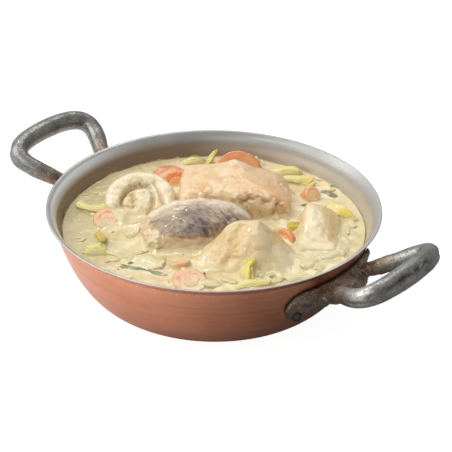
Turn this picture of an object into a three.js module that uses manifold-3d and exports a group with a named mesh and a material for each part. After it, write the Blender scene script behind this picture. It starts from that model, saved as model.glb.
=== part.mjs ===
// Pan of fish stew: a round two-handled copper pan, tinned inside, with a cast iron loop
// handle riveted to each side. It holds five cuts of fish with carrot and leek in a cream sauce.
// Millimetres, +Z up. The base stands on Z = 0 round the Z axis, and the handles lie along X.
import * as THREE from "three";
import { mergeVertices } from "three/addons/utils/BufferGeometryUtils.js";
import Module from "manifold-3d";

const wasm = await Module();
wasm.setup();

const { degToRad, lerp } = THREE.MathUtils;

// Clear space between touching pieces
const gap = 0.3;

// Pan
const rimRadius = 100;
const panHeight = 54;
const wall = 2;
const baseRadius = 62;
const shoulder = { radius: 95.5, height: 48.7 };
const bowl = { sidePower: 2.12, depthPower: 1.21, rows: 6 };
const lip = { edge: 1.6, drop: 1.4, undercut: 1 };
const panSides = 44;

// Handles: a flange on the wall, a boss in its middle and a loop that springs from the boss
const flange = { halfLength: 40.5, middle: 31, halfHeight: 11.5, thick: 4.2, sides: 48 };
const boss = { out: 95, middle: 34.5, halfOut: 10.5, halfAcross: 20, halfHeight: 7.8 };
const loop = { rootOut: 97, rootUp: 37.1, rootHalf: 18.5, tilt: degToRad(28.2), steps: 18 };
const loopNeck = { out: 14.1, across: 11.9 };
const loopGrip = { out: 47.3, across: 62 };
const bar = { root: 3.8, arm: 5.5, grip: 6.2, armShare: 0.45 };
const rivet = { angle: degToRad(20.5), up: 26.5, head: 2.9, dome: 2.1, shank: 1.5, tail: 1.1 };

// Stew: its pieces are placed facing the diner, who sits at this angle to the handles
const servedTurn = degToRad(37.85);
const sauceLevel = 39;
const sauceSides = 32;

// Colour, roughness and metalness of each finish
const finishes = {
  copper: [0xb87350, 0.35, 1],
  iron: [0x6a6c67, 0.6, 0.8],
  sauce: [0xe0d2b0, 0.35, 0],
  whiteFish: [0xeee4c6, 0.5, 0],
  skinFish: [0x9a8c80, 0.5, 0],
  brownedFish: [0xe8c79c, 0.5, 0],
  carrot: [0xe08a50, 0.45, 0],
  paleCarrot: [0xe8bf96, 0.45, 0],
  leek: [0xdcd69a, 0.45, 0],
  yellowLeek: [0xdcc85a, 0.45, 0],
  greenLeek: [0x9aa860, 0.45, 0],
};

// Lengths run to the diner's right, widths away from the diner and heights up from the table.
// tops are a cut's heights at its back left, back right, front left and front right corners,
// and lean is how far its left, right, front and back sides slope in.
const fish = [
  {
    name: "front_fillet",
    finish: "whiteFish",
    at: [21, -40, 0],
    turn: [0, 0, 0],
    size: [80, 54],
    bottom: 20,
    tops: [56, 55, 47, 45],
    lean: [30, 30, 18, 6],
    crown: 4,
    corner: 4,
    dome: 1.6,
  },
  {
    name: "skin_fillet",
    finish: "skinFish",
    at: [-11, -13, 0],
    turn: [0, 0, 0],
    size: [78, 42],
    bottom: 22,
    tops: [48, 51, 44, 45],
    lean: [8, 2, 6, 3],
    crown: 9,
    corner: 4,
    dome: 2,
  },
  {
    name: "browned_fillet",
    finish: "brownedFish",
    at: [13.5, 27, 0],
    turn: [0, 0, 0],
    size: [70, 42],
    bottom: 22,
    tops: [57, 53, 53, 50],
    lean: [1, 6, 6, 1],
    crown: 5,
    corner: 7,
    dome: 2,
  },
  {
    name: "side_fillet",
    finish: "whiteFish",
    at: [61, -10, 0],
    turn: [0, 0, -4],
    size: [25, 40],
    bottom: 24,
    tops: [53, 51, 48, 44],
    lean: [2, 6, 6, 1],
    crown: 0,
    corner: 5,
    dome: 2,
  },
].map((cut) => ({ ...cut, make: fishCut }));

const roll = {
  name: "rolled_fillet",
  finish: "whiteFish",
  make: rolledCut,
  at: [-45, 22, 38],
  turn: [23, 0, 0],
  radius: 21,
  height: 22,
  edge: 4,
  groove: { start: 2.4, turns: 1.6, core: 4, rim: 5, width: 1.4, depth: 5, steps: 14 },
};

const carrots = [
  coin("carrot_back", "carrot", [14, 71, 36], [55, 0, 0], 16, 6),
  coin("carrot_back_left", "carrot", [-29, 57, 38], [25, 0, 0], 12, 6),
  coin("carrot_behind_roll", "carrot", [-24, 50, 39], [40, 10, 0], 9, 6),
  coin("carrot_right", "carrot", [59, 37.5, 39], [60, 0, 30], 5, 7),
  coin("carrot_left", "paleCarrot", [-64, 3, 38], [6, 8, 0], 8.5, 5),
  coin("carrot_front_thin", "carrot", [-19, -46, 38], [-20, 0, 20], 6, 4),
  coin("carrot_front", "paleCarrot", [-14, -64, 38], [10, 0, 0], 10, 6),
  coin("carrot_beside_front", "carrot", [45, -11, 38], [70, 0, -50], 9, 4),
];

const leeks = [
  strip("leek_crescent", "yellowLeek", [-74, 17, 40], [0, 0, 175], [20, 6, 3], { bend: 60 }),
  strip("leek_pod", "yellowLeek", [-67, -19, 40], [0, 0, -60], [13, 6, 4], { narrow: 0.4 }),
  strip("leek_fold_left", "yellowLeek", [-70, -31, 40], [10, 0, -30], [13, 9, 3], { arch: 40 }),
  strip("leek_slab", "greenLeek", [-38, -47, 40], [0, 0, -15], [23, 15, 4], { narrow: 0.2 }),
  strip("leek_front_left", "leek", [-11, -55, 40], [0, 0, -25], [14, 5, 3], { bend: 40 }),
  strip("leek_chunk", "leek", [-1, -67, 39], [0, 0, 0], [10, 12, 6], { narrow: 0.2 }),
  strip("leek_fold_front", "yellowLeek", [18, -57, 42], [50, 0, 70], [18, 9, 3], { arch: 50 }),
  strip("leek_strip_front", "yellowLeek", [21, -68, 40], [0, 0, 10], [16, 5, 3], { bend: 30 }),
  ring("leek_ring_front", "leek", [35, -62, 39.5], [5, 0, 0], 5, 1.5, 5),
  ring("leek_arc_right", "leek", [72, -19, 38.6], [6, 4, 0], 7.5, 2, 5),
  strip("leek_pale_right", "leek", [49, -61, 40], [0, 0, 20], [14, 5, 3], { bend: 30 }),
  strip("leek_curl_back", "greenLeek", [-13, 81, 40], [60, 0, 10], [20, 5, 3], { arch: 90 }),
  strip("leek_spike_back", "yellowLeek", [-4, 79, 42], [0, -80, 0], [12, 4, 3], { narrow: 0.5 }),
  strip("leek_behind", "leek", [23, 76, 41], [40, 0, 0], [9, 12, 4], { narrow: 0.2 }),
  strip("leek_bunch_back", "leek", [43, 69, 41], [15, 0, 0], [19, 10, 4], { arch: 40 }),
  strip("leek_strip_back", "yellowLeek", [52, 57, 40], [0, 0, -20], [19, 5, 3], { bend: 20 }),
  strip("leek_yellow_right", "yellowLeek", [76, 16, 42], [10, 0, -38], [20, 6, 3], { arch: 20 }),
  strip("leek_middle", "leek", [-27, 30, 39], [0, 0, 70], [13, 7, 5], { narrow: 0.2 }),
  strip("leek_low_right", "leek", [69, -34, 39.4], [0, 0, 30], [11, 5, 4], { bend: 60 }),
  strip("leek_bud_right", "greenLeek", [48, -2, 40], [40, 0, 20], [7, 9, 5], { narrow: 0.3 }),
];

function coin(name, finish, at, turn, radius, thick) {
  return { name, finish, at, turn, radius, thick, make: carrotCoin };
}

function strip(name, finish, at, turn, size, shape) {
  return { name, finish, at, turn, size, ...shape, make: leekStrip };
}

function ring(name, finish, at, turn, radius, thick, height) {
  return { name, finish, at, turn, radius, thick, height, make: leekRing };
}

function finish(name) {
  const [color, roughness, metalness] = finishes[name];
  return new THREE.MeshStandardMaterial({ name, color, roughness, metalness });
}

// A closed solid for joining and cutting, from a geometry whose points are merged.
function solidOf(geometry) {
  const bare = geometry.clone();
  bare.deleteAttribute("normal");
  bare.deleteAttribute("uv");
  const merged = mergeVertices(bare, 1e-3);
  const vertProperties = new Float32Array(merged.attributes.position.array);
  const triVerts = new Uint32Array(merged.index.array);
  return new wasm.Manifold(new wasm.Mesh({ numProp: 3, vertProperties, triVerts }));
}

function geometryOf(solid) {
  const mesh = solid.getMesh();
  const geometry = new THREE.BufferGeometry();
  geometry.setAttribute("position", new THREE.BufferAttribute(mesh.vertProperties, 3));
  geometry.setIndex(new THREE.BufferAttribute(mesh.triVerts, 1));
  geometry.computeVertexNormals();
  return geometry;
}

// A mesh's solid where it stands in the pan, and its way back to the mesh's own frame.
function standingSolid(mesh, geometry = mesh.geometry) {
  return solidOf(geometry.clone().applyMatrix4(mesh.matrixWorld));
}

function setStandingSolid(mesh, solid) {
  mesh.geometry = geometryOf(solid).applyMatrix4(mesh.matrixWorld.clone().invert());
}

// A turned shape round Z, from [radius, height] pairs that start and end on the axis or close up.
function turned(profile, sides) {
  const points = profile.map(([radius, height]) => new THREE.Vector2(radius, height));
  return new THREE.LatheGeometry(points, sides).rotateX(Math.PI / 2);
}

function eachPoint(geometry, move) {
  const position = geometry.attributes.position;
  const point = new THREE.Vector3();
  for (let i = 0; i < position.count; i += 1) {
    move(point.fromBufferAttribute(position, i));
    position.setXYZ(i, point.x, point.y, point.z);
  }
  return geometry;
}

// The bowl's side is a quarter of a superellipse from the base up to the shoulder, as
// [radius, height] pairs. inset is the distance in from the outer face.
function bowlSide(inset) {
  const foot = baseRadius - inset / 2;
  const top = shoulder.radius - inset;
  return Array.from({ length: bowl.rows + 1 }, (_, row) => {
    const angle = (Math.PI / 2) * (1 - row / bowl.rows);
    const out = row === 0 ? 0 : Math.cos(angle) ** (2 / bowl.sidePower);
    const down = Math.sin(angle) ** (2 / bowl.depthPower);
    return [lerp(foot, top, out), lerp(shoulder.height, inset, down)];
  });
}

// Outer radius of the bowl at a height.
function wallRadius(height) {
  const side = bowlSide(0);
  const above = side.findIndex((point) => point[1] >= height);
  const [lowRadius, low] = side[above - 1];
  const [highRadius, high] = side[above];
  return lerp(lowRadius, highRadius, (height - low) / (high - low));
}

function panShape() {
  const outer = [
    [0, 0],
    ...bowlSide(0),
    [rimRadius - lip.undercut, panHeight - lip.drop],
    [rimRadius, panHeight - lip.drop / 2],
    [rimRadius, panHeight],
  ];
  const inner = [[rimRadius - lip.edge, panHeight], ...bowlSide(wall).reverse(), [0, wall]];
  return turned([...outer, ...inner], panSides);
}

// The pan's outer shape as a solid block, a gap larger all round.
function panBlock() {
  const side = bowlSide(0).map(([radius, height]) => [radius + gap, height]);
  const top = panHeight + 1;
  const edge = rimRadius + gap;
  return turned([[0, 0], ...side, [edge, panHeight - lip.drop], [edge, top], [0, top]], flange.sides);
}

// A band round the wall, thickest half way up.
function flangeBand() {
  const rows = 3;
  const inside = [];
  const outside = [];
  for (let row = 0; row <= rows; row += 1) {
    const height = flange.middle + (flange.halfHeight + 1) * ((2 * row) / rows - 1);
    const bulge = Math.sin((Math.PI * (row + 0.6)) / (rows + 1.2));
    const radius = wallRadius(height) + gap;
    inside.push([radius - 1, height]);
    outside.push([radius + flange.thick * (0.55 + 0.45 * bulge), height]);
  }
  return turned([...outside, ...inside.reverse(), outside[0]], flange.sides);
}

// The flange is that band cut to a long plate with round ends.
function flangePlate() {
  const straight = flange.halfLength - flange.halfHeight;
  const outline = new THREE.Shape();
  outline.absarc(straight, 0, flange.halfHeight, -Math.PI / 2, Math.PI / 2);
  outline.absarc(-straight, 0, flange.halfHeight, Math.PI / 2, (3 * Math.PI) / 2);
  const length = rimRadius;
  const plate = new THREE.ExtrudeGeometry(outline, {
    depth: length,
    bevelEnabled: false,
    curveSegments: 5,
  });
  const facingOut = new THREE.Matrix4().makeBasis(
    new THREE.Vector3(0, 1, 0),
    new THREE.Vector3(0, 0, 1),
    new THREE.Vector3(1, 0, 0),
  );
  plate.applyMatrix4(facingOut).translate(baseRadius, 0, flange.middle);
  return solidOf(flangeBand()).intersect(solidOf(plate));
}

// The loop lies in one plane, tilted up away from the pan. Its two arms spread from the boss
// and close in a rounded grip, and its bar thickens from the root to the grip.
function handleLoop() {
  const out = new THREE.Vector3(Math.cos(loop.tilt), 0, Math.sin(loop.tilt));
  const root = new THREE.Vector3(loop.rootOut, 0, loop.rootUp);
  const place = (reach, across) => root.clone().addScaledVector(out, reach).setY(across);
  const half = (side) => [
    place(0, side * loop.rootHalf),
    place(loopNeck.out, side * loopNeck.across),
    place(loopGrip.out, side * loopGrip.across),
    place(loopGrip.out, 0),
  ];
  const path = new THREE.CurvePath();
  path.add(new THREE.CubicBezierCurve3(...half(-1)));
  path.add(new THREE.CubicBezierCurve3(...half(1).reverse()));
  const section = new THREE.Shape().absellipse(0, 0, 1, 1, 0, 2 * Math.PI);
  const geometry = new THREE.ExtrudeGeometry(section, {
    steps: loop.steps,
    curveSegments: 4,
    extrudePath: path,
  });
  const stations = path.getSpacedPoints(loop.steps);
  return eachPoint(geometry, (point) => {
    const near = stations.reduce((a, b) => (b.distanceTo(point) < a.distanceTo(point) ? b : a));
    const share = 1 - Math.abs((2 * stations.indexOf(near)) / loop.steps - 1);
    point.sub(near).multiplyScalar(barRadius(share)).add(near);
  });
}

// Half the bar's thickness, from 0 at the root to 1 at the middle of the grip.
function barRadius(share) {
  if (share < bar.armShare) return lerp(bar.root, bar.arm, share / bar.armShare);
  return lerp(bar.arm, bar.grip, (share - bar.armShare) / (1 - bar.armShare));
}

function handleShape() {
  const lump = new THREE.SphereGeometry(1, 12, 7);
  lump.scale(boss.halfOut, boss.halfAcross, boss.halfHeight).translate(boss.out, 0, boss.middle);
  const casting = flangePlate().add(solidOf(lump)).add(solidOf(handleLoop()));
  return geometryOf(casting.subtract(solidOf(panBlock())));
}

// A rivet stands up from the wall's outer face: a dome on the flange and a flat tail inside.
function rivetShape(swell = 0) {
  const seat = flange.thick - gap;
  const { head, dome, shank, tail } = rivet;
  const inside = wall + gap;
  const profile = [
    [0, -inside - tail - swell],
    [head + swell, -inside - tail - swell],
    [head + swell, -inside + swell],
    [shank + swell, -inside + swell],
    [shank + swell, seat - swell],
    [head + swell, seat - swell],
    [head * 0.7 + swell, seat + dome * 0.8 + swell],
    [0, seat + dome + swell],
  ];
  return turned(profile, 8);
}

function placeRivet(mesh, turn) {
  const radius = wallRadius(rivet.up);
  const slope = Math.atan(wallRadius(rivet.up + 1) - radius);
  mesh.position.set(radius * Math.cos(turn), radius * Math.sin(turn), rivet.up);
  mesh.rotation.set(0, Math.PI / 2 + slope, turn, "ZYX");
}

// A cut of fish: a rounded block with its own height at each corner and sides that slope in.
function fishCut(cut, swell = 0) {
  const [backLeft, backRight, frontLeft, frontRight] = cut.tops;
  const [left, right, front, back] = cut.lean;
  const power = cut.corner;
  const halfLength = cut.size[0] / 2;
  const halfWidth = cut.size[1] / 2;
  return eachPoint(new THREE.BoxGeometry(2, 2, 2, 4, 4, 3), (point) => {
    const squareness = point.toArray().reduce((sum, side) => sum + Math.abs(side) ** power, 0);
    point.divideScalar(squareness ** (1 / power));
    const rise = (point.z + 1) / 2;
    const toRight = (point.x + 1) / 2;
    const toBack = (point.y + 1) / 2;
    const edge = lerp(lerp(frontLeft, frontRight, toRight), lerp(backLeft, backRight, toRight), toBack);
    const top = edge + cut.crown * (1 - point.x ** 2);
    const inward = rise ** cut.dome;
    point.x *= halfLength - (point.x < 0 ? left : right) * inward + swell;
    point.y *= halfWidth - (point.y < 0 ? front : back) * inward + swell;
    point.z = lerp(cut.bottom - swell, top + swell, rise);
  });
}

// The rolled fillet is a drum, and a groove winds over its face where the turns meet.
function rolledCut({ radius, height, edge }, swell = 0) {
  const out = radius + swell;
  const half = height / 2 + swell;
  const profile = [
    [0, -half],
    [out - edge, -half],
    [out, edge - half],
    [out, half - edge],
    [out - edge / 3, half - edge / 3],
    [out - edge, half],
    [0, half],
  ];
  return turned(profile, 18);
}

function rollGroove({ radius, height, groove }) {
  const { start, turns, core, rim, width, depth, steps } = groove;
  const outerSide = [];
  const innerSide = [];
  for (let step = 0; step <= steps; step += 1) {
    const angle = start + (step / steps) * turns * 2 * Math.PI;
    const out = lerp(core, radius - rim, step / steps);
    outerSide.push(new THREE.Vector2(out * Math.cos(angle), out * Math.sin(angle)));
    innerSide.unshift(outerSide.at(-1).clone().multiplyScalar(1 - width / out));
  }
  const outline = new THREE.Shape([...outerSide, ...innerSide]);
  const cutter = new THREE.ExtrudeGeometry(outline, { depth: depth + 1, bevelEnabled: false });
  return cutter.translate(0, 0, height / 2 - depth);
}

// A slice of carrot: a short cylinder with its upper edge worn off.
function carrotCoin({ radius, thick }, swell = 0) {
  const out = radius + swell;
  const half = thick / 2 + swell;
  const worn = Math.min(thick / 4, 1.6);
  const profile = [
    [0, -half],
    [out, -half],
    [out, half - worn],
    [out - worn, half],
    [0, half],
  ];
  return turned(profile, 10);
}

// A strip of leek, narrowed at its ends. bend curls it sideways and arch curls it downwards,
// each by so many degrees along its length.
function leekStrip({ size, bend = 0, arch = 0, narrow = 0 }, swell = 0) {
  const [length, width, thick] = size.map((side) => side + 2 * swell);
  const steps = bend || arch ? 4 : 2;
  const sweep = degToRad(bend || arch);
  const radius = sweep ? size[0] / sweep : 0;
  return eachPoint(new THREE.BoxGeometry(length, width, thick, steps, 1, 1), (point) => {
    const share = point.x / length;
    point.y *= 1 - narrow * (2 * share) ** 2;
    if (!sweep) return;
    const angle = share * sweep;
    const reach = radius + (bend ? point.y : point.z);
    point.x = reach * Math.sin(angle);
    if (bend) point.y = reach * Math.cos(angle) - radius;
    else point.z = reach * Math.cos(angle) - radius;
  });
}

// A slice across a leek: a short open tube.
function leekRing({ radius, thick, height }, swell = 0) {
  const outer = radius + swell;
  const inner = radius - thick - swell;
  const half = height / 2 + swell;
  return turned([[inner, -half], [outer, -half], [outer, half], [inner, half], [inner, -half]], 10);
}

// Sauce fills the bowl up to its level.
function sauceShape() {
  const below = bowlSide(wall + gap).filter(([, height]) => height < sauceLevel);
  const edge = wallRadius(sauceLevel) - wall - 2 * gap;
  return turned([[0, wall + gap], ...below, [edge, sauceLevel], [0, sauceLevel]], sauceSides);
}

function foodMesh(piece, swell = 0) {
  const mesh = new THREE.Mesh(piece.make(piece, swell), finish(piece.finish));
  mesh.name = piece.name;
  mesh.position.set(...piece.at);
  mesh.rotation.set(...piece.turn.map(degToRad), "ZYX");
  return mesh;
}

const part = new THREE.Group();
const stew = new THREE.Group();
stew.rotation.z = servedTurn;
part.add(stew);

const pan = new THREE.Mesh(panShape(), finish("copper"));
pan.name = "pan";
part.add(pan);

const sauce = new THREE.Mesh(sauceShape(), finish("sauce"));
sauce.name = "sauce";
part.add(sauce);

// Each handle turns half way round from the other, and its two rivets pass through its flange
// and the pan's wall.
for (const [side, facing] of [["right", 0], ["left", Math.PI]]) {
  const handle = new THREE.Mesh(handleShape(), finish("iron"));
  handle.name = `handle_${side}`;
  handle.rotation.z = facing;
  part.add(handle);
  for (const [end, offset] of [["front", -rivet.angle], ["back", rivet.angle]]) {
    const mesh = new THREE.Mesh(rivetShape(), finish("iron"));
    mesh.name = `rivet_${side}_${end}`;
    placeRivet(mesh, facing + offset);
    part.add(mesh);
    part.updateMatrixWorld(true);
    const hole = standingSolid(mesh, rivetShape(gap));
    for (const pierced of [handle, pan, sauce]) {
      setStandingSolid(pierced, standingSolid(pierced).subtract(hole));
    }
  }
}

// A piece further down the list gives way to those above it, and the sauce to all of them.
const settled = [];
for (const piece of [...fish, roll, ...carrots, ...leeks]) {
  const mesh = foodMesh(piece);
  stew.add(mesh);
  part.updateMatrixWorld(true);
  const box = new THREE.Box3().setFromObject(mesh).expandByScalar(gap);
  let solid = standingSolid(mesh);
  if (piece.groove) solid = solid.subtract(standingSolid(mesh, rollGroove(piece)));
  for (const earlier of settled.filter((other) => other.box.intersectsBox(box))) {
    solid = solid.subtract(earlier.room);
  }
  const room = standingSolid(mesh, piece.make(piece, gap));
  setStandingSolid(mesh, solid);
  setStandingSolid(sauce, standingSolid(sauce).subtract(room));
  settled.push({ box, room });
}

export default part;
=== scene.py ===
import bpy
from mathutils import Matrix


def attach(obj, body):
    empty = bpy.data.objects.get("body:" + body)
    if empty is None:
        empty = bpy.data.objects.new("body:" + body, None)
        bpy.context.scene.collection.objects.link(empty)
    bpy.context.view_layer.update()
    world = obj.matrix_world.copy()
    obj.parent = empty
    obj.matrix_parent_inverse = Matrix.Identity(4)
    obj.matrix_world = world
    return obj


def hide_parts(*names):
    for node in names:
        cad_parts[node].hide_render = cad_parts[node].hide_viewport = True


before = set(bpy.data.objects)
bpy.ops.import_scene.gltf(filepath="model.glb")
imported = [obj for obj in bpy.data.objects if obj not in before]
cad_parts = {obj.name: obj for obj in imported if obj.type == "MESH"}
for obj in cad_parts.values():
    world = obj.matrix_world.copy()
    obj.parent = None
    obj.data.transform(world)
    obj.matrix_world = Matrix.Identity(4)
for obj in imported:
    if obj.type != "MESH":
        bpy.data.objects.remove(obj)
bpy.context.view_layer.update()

import math
import random

import bmesh
import bpy
import numpy as np
from mathutils import Euler, Matrix, Vector, noise
from mathutils.bvhtree import BVHTree

# Shapes are worked out in millimetres. finishPiece turns them to metres in the row's frame.
mm = 0.001
# The stew is laid out as the diner sees it: x to the right, y away, z up.
servedTurn = math.radians(37.85)
sauceLevel = 39.0

bowl = {
    "height": 54.0, "wall": 2.0, "base": 62.0, "shoulder": 95.5, "shoulderUp": 48.7,
    "sidePower": 2.12, "depthPower": 1.21, "flare": 0.9,
}


def ease(low, high, value):
    share = np.clip((value - low) / (high - low), 0, 1)
    return share * share * (3 - 2 * share)


def lerp(low, high, share):
    return low + (high - low) * share


def getPoints(bm):
    return np.array([vert.co for vert in bm.verts])


def setPoints(bm, points):
    for vert, point in zip(bm.verts, points.tolist()):
        vert.co = point


def getNormals(bm):
    bmesh.ops.recalc_face_normals(bm, faces=bm.faces[:])
    bm.normal_update()
    return np.array([vert.normal for vert in bm.verts])


def cloud(points, size, octaves=3, seed=0):
    # soft noise from about -1 to 1 in patches of that size
    moved = points / size + 31.7 * seed + 0.37
    return np.array([noise.fractal(point, 1, 2, octaves) for point in moved.tolist()])


def nearStroke(points, path, radius):
    # 1 on a path through the given points, fading out over the radius
    path = np.array(path, float)
    starts, ends = (path[:-1], path[1:]) if len(path) > 1 else (path, path)
    near = np.full(len(points), 1e9)
    for start, end in zip(starts, ends):
        along = end - start
        share = np.clip((points - start) @ along / max(along @ along, 1e-9), 0, 1)
        away = points - start - share[:, None] * along
        near = np.minimum(near, np.linalg.norm(away, axis=1))
    return np.exp(-((near / radius) ** 2))


def turnedPoints(points, at, turn):
    spin = np.array(Euler([math.radians(angle) for angle in turn]).to_matrix())
    return points @ spin.T + np.array(at, float)


def roundedBlock(cuts, power):
    # a cube with a fine even mesh, its corners rounded off
    bm = bmesh.new()
    bmesh.ops.create_cube(bm, size=2)
    bmesh.ops.subdivide_edges(bm, edges=bm.edges[:], cuts=cuts, use_grid_fill=True)
    unit = getPoints(bm)
    reach = (np.abs(unit) ** power).sum(axis=1) ** (1 / power)
    return bm, unit / reach[:, None]


def meshFrom(bm, name):
    mesh = bpy.data.meshes.new(name)
    bm.to_mesh(mesh)
    bm.free()
    return mesh


def addObject(name, data):
    made = bpy.data.objects.new(name, data)
    bpy.context.scene.collection.objects.link(made)
    return made


def addCopy(bm, block, points):
    # adds a copy of a block with its points moved
    copied = block.copy()
    setPoints(copied, points)
    mesh = meshFrom(copied, "copy")
    bm.from_mesh(mesh)
    bpy.data.meshes.remove(mesh)


def spunShape(profile, steps, closed=False):
    # a shape turned round Z from its profile of (radius, height)
    bm = bmesh.new()
    verts = [bm.verts.new((radius, 0, up)) for radius, up in profile]
    pairs = list(zip(verts, verts[1:])) + ([(verts[-1], verts[0])] if closed else [])
    edges = [bm.edges.new(pair) for pair in pairs]
    bmesh.ops.spin(bm, geom=verts + edges, cent=(0, 0, 0), axis=(0, 0, 1),
                   angle=2 * math.pi, steps=steps, use_merge=True)
    bmesh.ops.remove_doubles(bm, verts=bm.verts[:], dist=1e-4)
    return bm


def finishPiece(name, bm, materials, replaced=(), masks=None, turn=servedTurn, faceSlots=None):
    bmesh.ops.recalc_face_normals(bm, faces=bm.faces[:])
    bm.transform(Matrix.Scale(mm, 4) @ Matrix.Rotation(turn, 4, "Z"))
    mesh = meshFrom(bm, name)
    mesh.shade_smooth()
    for material in materials:
        mesh.materials.append(material)
    if faceSlots is not None:
        mesh.polygons.foreach_set("material_index", faceSlots)
    for mask, values in (masks or {}).items():
        values = np.asarray(values, np.float32)
        kind, field = ("FLOAT_VECTOR", "vector") if values.ndim == 2 else ("FLOAT", "value")
        mesh.attributes.new(mask, kind, "POINT").data.foreach_set(field, values.ravel())
    piece = addObject(name, mesh)
    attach(piece, "root")
    if replaced:
        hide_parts(*replaced)
    return piece


def bowlSide(inset, rows):
    # the wall's curve from the floor up to the shoulder, as (radius, height)
    foot, top = bowl["base"] - inset / 2, bowl["shoulder"] - inset
    side = []
    for row in range(rows + 1):
        angle = math.pi / 2 * (1 - row / rows)
        out = 0 if row == 0 else math.cos(angle) ** (2 / bowl["sidePower"])
        down = math.sin(angle) ** (2 / bowl["depthPower"])
        side.append((lerp(foot, top, out), lerp(bowl["shoulderUp"], inset, down)))
    return side


outerSide = np.array(bowlSide(0, 60))
innerSide = np.array(bowlSide(bowl["wall"], 60))


def wallRadius(height):
    flare = (height - bowl["shoulderUp"]) * bowl["flare"]
    return np.interp(height, outerSide[:, 1], outerSide[:, 0]) + np.maximum(0, flare)


def innerRadius(height):
    return float(np.interp(height, innerSide[:, 1], innerSide[:, 0]))


sauceRadius = innerRadius(sauceLevel) - 0.3


def sauceSkirt(points, spread, height, seed=0):
    # how far a piece flares out where the sauce climbs it
    above = np.maximum(0, points[:, 2] - sauceLevel)
    return spread * np.exp(-above / height) * (1 + 0.45 * cloud(points, 9, 2, seed + 60))


def colour(red, green, blue):
    # a colour as seen on a screen, from 0 to 255, as the shader's own
    def linear(value):
        value /= 255
        return value / 12.92 if value < 0.04045 else ((value + 0.055) / 1.055) ** 2.4
    return (linear(red), linear(green), linear(blue), 1)


def fill(tree, node, inputs):
    # links or sets a node's inputs
    for socket, value in inputs.items():
        if isinstance(value, bpy.types.NodeSocket):
            tree.links.new(value, node.inputs[socket])
        else:
            node.inputs[socket].default_value = value


def put(tree, kind, inputs=None, **settings):
    node = tree.nodes.new(kind)
    for setting, value in settings.items():
        setattr(node, setting, value)
    fill(tree, node, inputs or {})
    return node


def blend(tree, share, low, high):
    # a colour of three numbers is one as seen on a screen
    low, high = (colour(*value) if isinstance(value, tuple) and len(value) == 3 else value for value in (low, high))
    node = put(tree, "ShaderNodeMix", data_type="RGBA")
    fill(tree, node, {0: share, 6: low, 7: high})
    return node.outputs[2]


def calc(tree, operation, first, second=0.0):
    return put(tree, "ShaderNodeMath", {0: first, 1: second}, operation=operation).outputs[0]


def times(tree, first, second):
    return calc(tree, "MULTIPLY", first, second)


def over(tree, base, mask, share, tint):
    # lays a tint over the base where the mask is, as strongly as the share says
    return blend(tree, times(tree, mask, share), base, tint)


def remap(tree, value, low, high, toLow=0.0, toHigh=1.0):
    inputs = {"Value": value, "From Min": low, "From Max": high, "To Min": toLow, "To Max": toHigh}
    return put(tree, "ShaderNodeMapRange", inputs, interpolation_type="SMOOTHSTEP").outputs[0]


def attribute(tree, name, output="Fac"):
    return put(tree, "ShaderNodeAttribute", attribute_name=name).outputs[output]


def placeIn(tree):
    return put(tree, "ShaderNodeTexCoord").outputs["Object"]


def heightOf(tree, place):
    return put(tree, "ShaderNodeSeparateXYZ", {0: place}).outputs["Z"]


def alongLine(tree, place, line):
    return put(tree, "ShaderNodeVectorMath", {0: place, 1: line}, operation="DOT_PRODUCT").outputs["Value"]


def noiseAt(tree, place, scale, detail, **more):
    return put(tree, "ShaderNodeTexNoise", {"Vector": place, "Scale": scale, "Detail": detail, **more}).outputs[0]


def startGroup(name, inputs, outputs):
    group = bpy.data.node_groups.new(name, "ShaderNodeTree")
    for socket, kind, value in inputs:
        made = group.interface.new_socket(socket, in_out="INPUT", socket_type="NodeSocket" + kind)
        made.default_value = value
    for socket, kind in outputs:
        group.interface.new_socket(socket, in_out="OUTPUT", socket_type="NodeSocket" + kind)
    return group, put(group, "NodeGroupInput").outputs, put(group, "NodeGroupOutput").inputs


def use(tree, group, **inputs):
    return put(tree, "ShaderNodeGroup", inputs, node_tree=group).outputs


def startMaterial(name):
    material = bpy.data.materials.new(name)
    material.use_nodes = True
    tree = material.node_tree
    return material, tree, tree.nodes["Principled BSDF"]


def addBump(tree, shader, height, strength, distance):
    bump = put(tree, "ShaderNodeBump", {"Height": height, "Strength": strength, "Distance": distance})
    fill(tree, shader, {"Normal": bump.outputs[0]})


# patches: soft noise in patches of a size in millimetres, as a mask between two limits
patches, given, taken = startGroup(
    "patches",
    [("Size", "Float", 5.0), ("Detail", "Float", 3.0), ("Low", "Float", 0.4), ("High", "Float", 0.6)],
    [("Mask", "Float")],
)
density = calc(patches, "DIVIDE", 1000.0, given["Size"])
spots = noiseAt(patches, placeIn(patches), density, given["Detail"], Roughness=0.55)
patches.links.new(remap(patches, spots, given["Low"], given["High"]), taken["Mask"])

# sauceTone: the cream sauce, a little greener or rosier from place to place
sauceTone, given, taken = startGroup("sauceTone", [("Green", "Float", 0.0)], [("Color", "Color")])
place = placeIn(sauceTone)
swirl = noiseAt(sauceTone, place, 36.0, 4.0, Distortion=1.2)
broad = noiseAt(sauceTone, place, 17.0, 2.0)
curd = noiseAt(sauceTone, place, 260.0, 3.0)
greener = times(sauceTone, given["Green"], remap(sauceTone, broad, 0.62, 0.42, 0.55, 1.0))
tone = blend(sauceTone, remap(sauceTone, swirl, 0.34, 0.66), (238, 223, 182), (217, 197, 144))
tone = blend(sauceTone, remap(sauceTone, broad, 0.5, 0.7, 0.0, 0.4), tone, (232, 207, 162))
tone = blend(sauceTone, greener, tone, (194, 178, 130))
tone = blend(sauceTone, remap(sauceTone, curd, 0.58, 0.72, 0.0, 0.35), tone, (244, 235, 204))
sauceTone.links.new(tone, taken["Color"])

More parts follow.
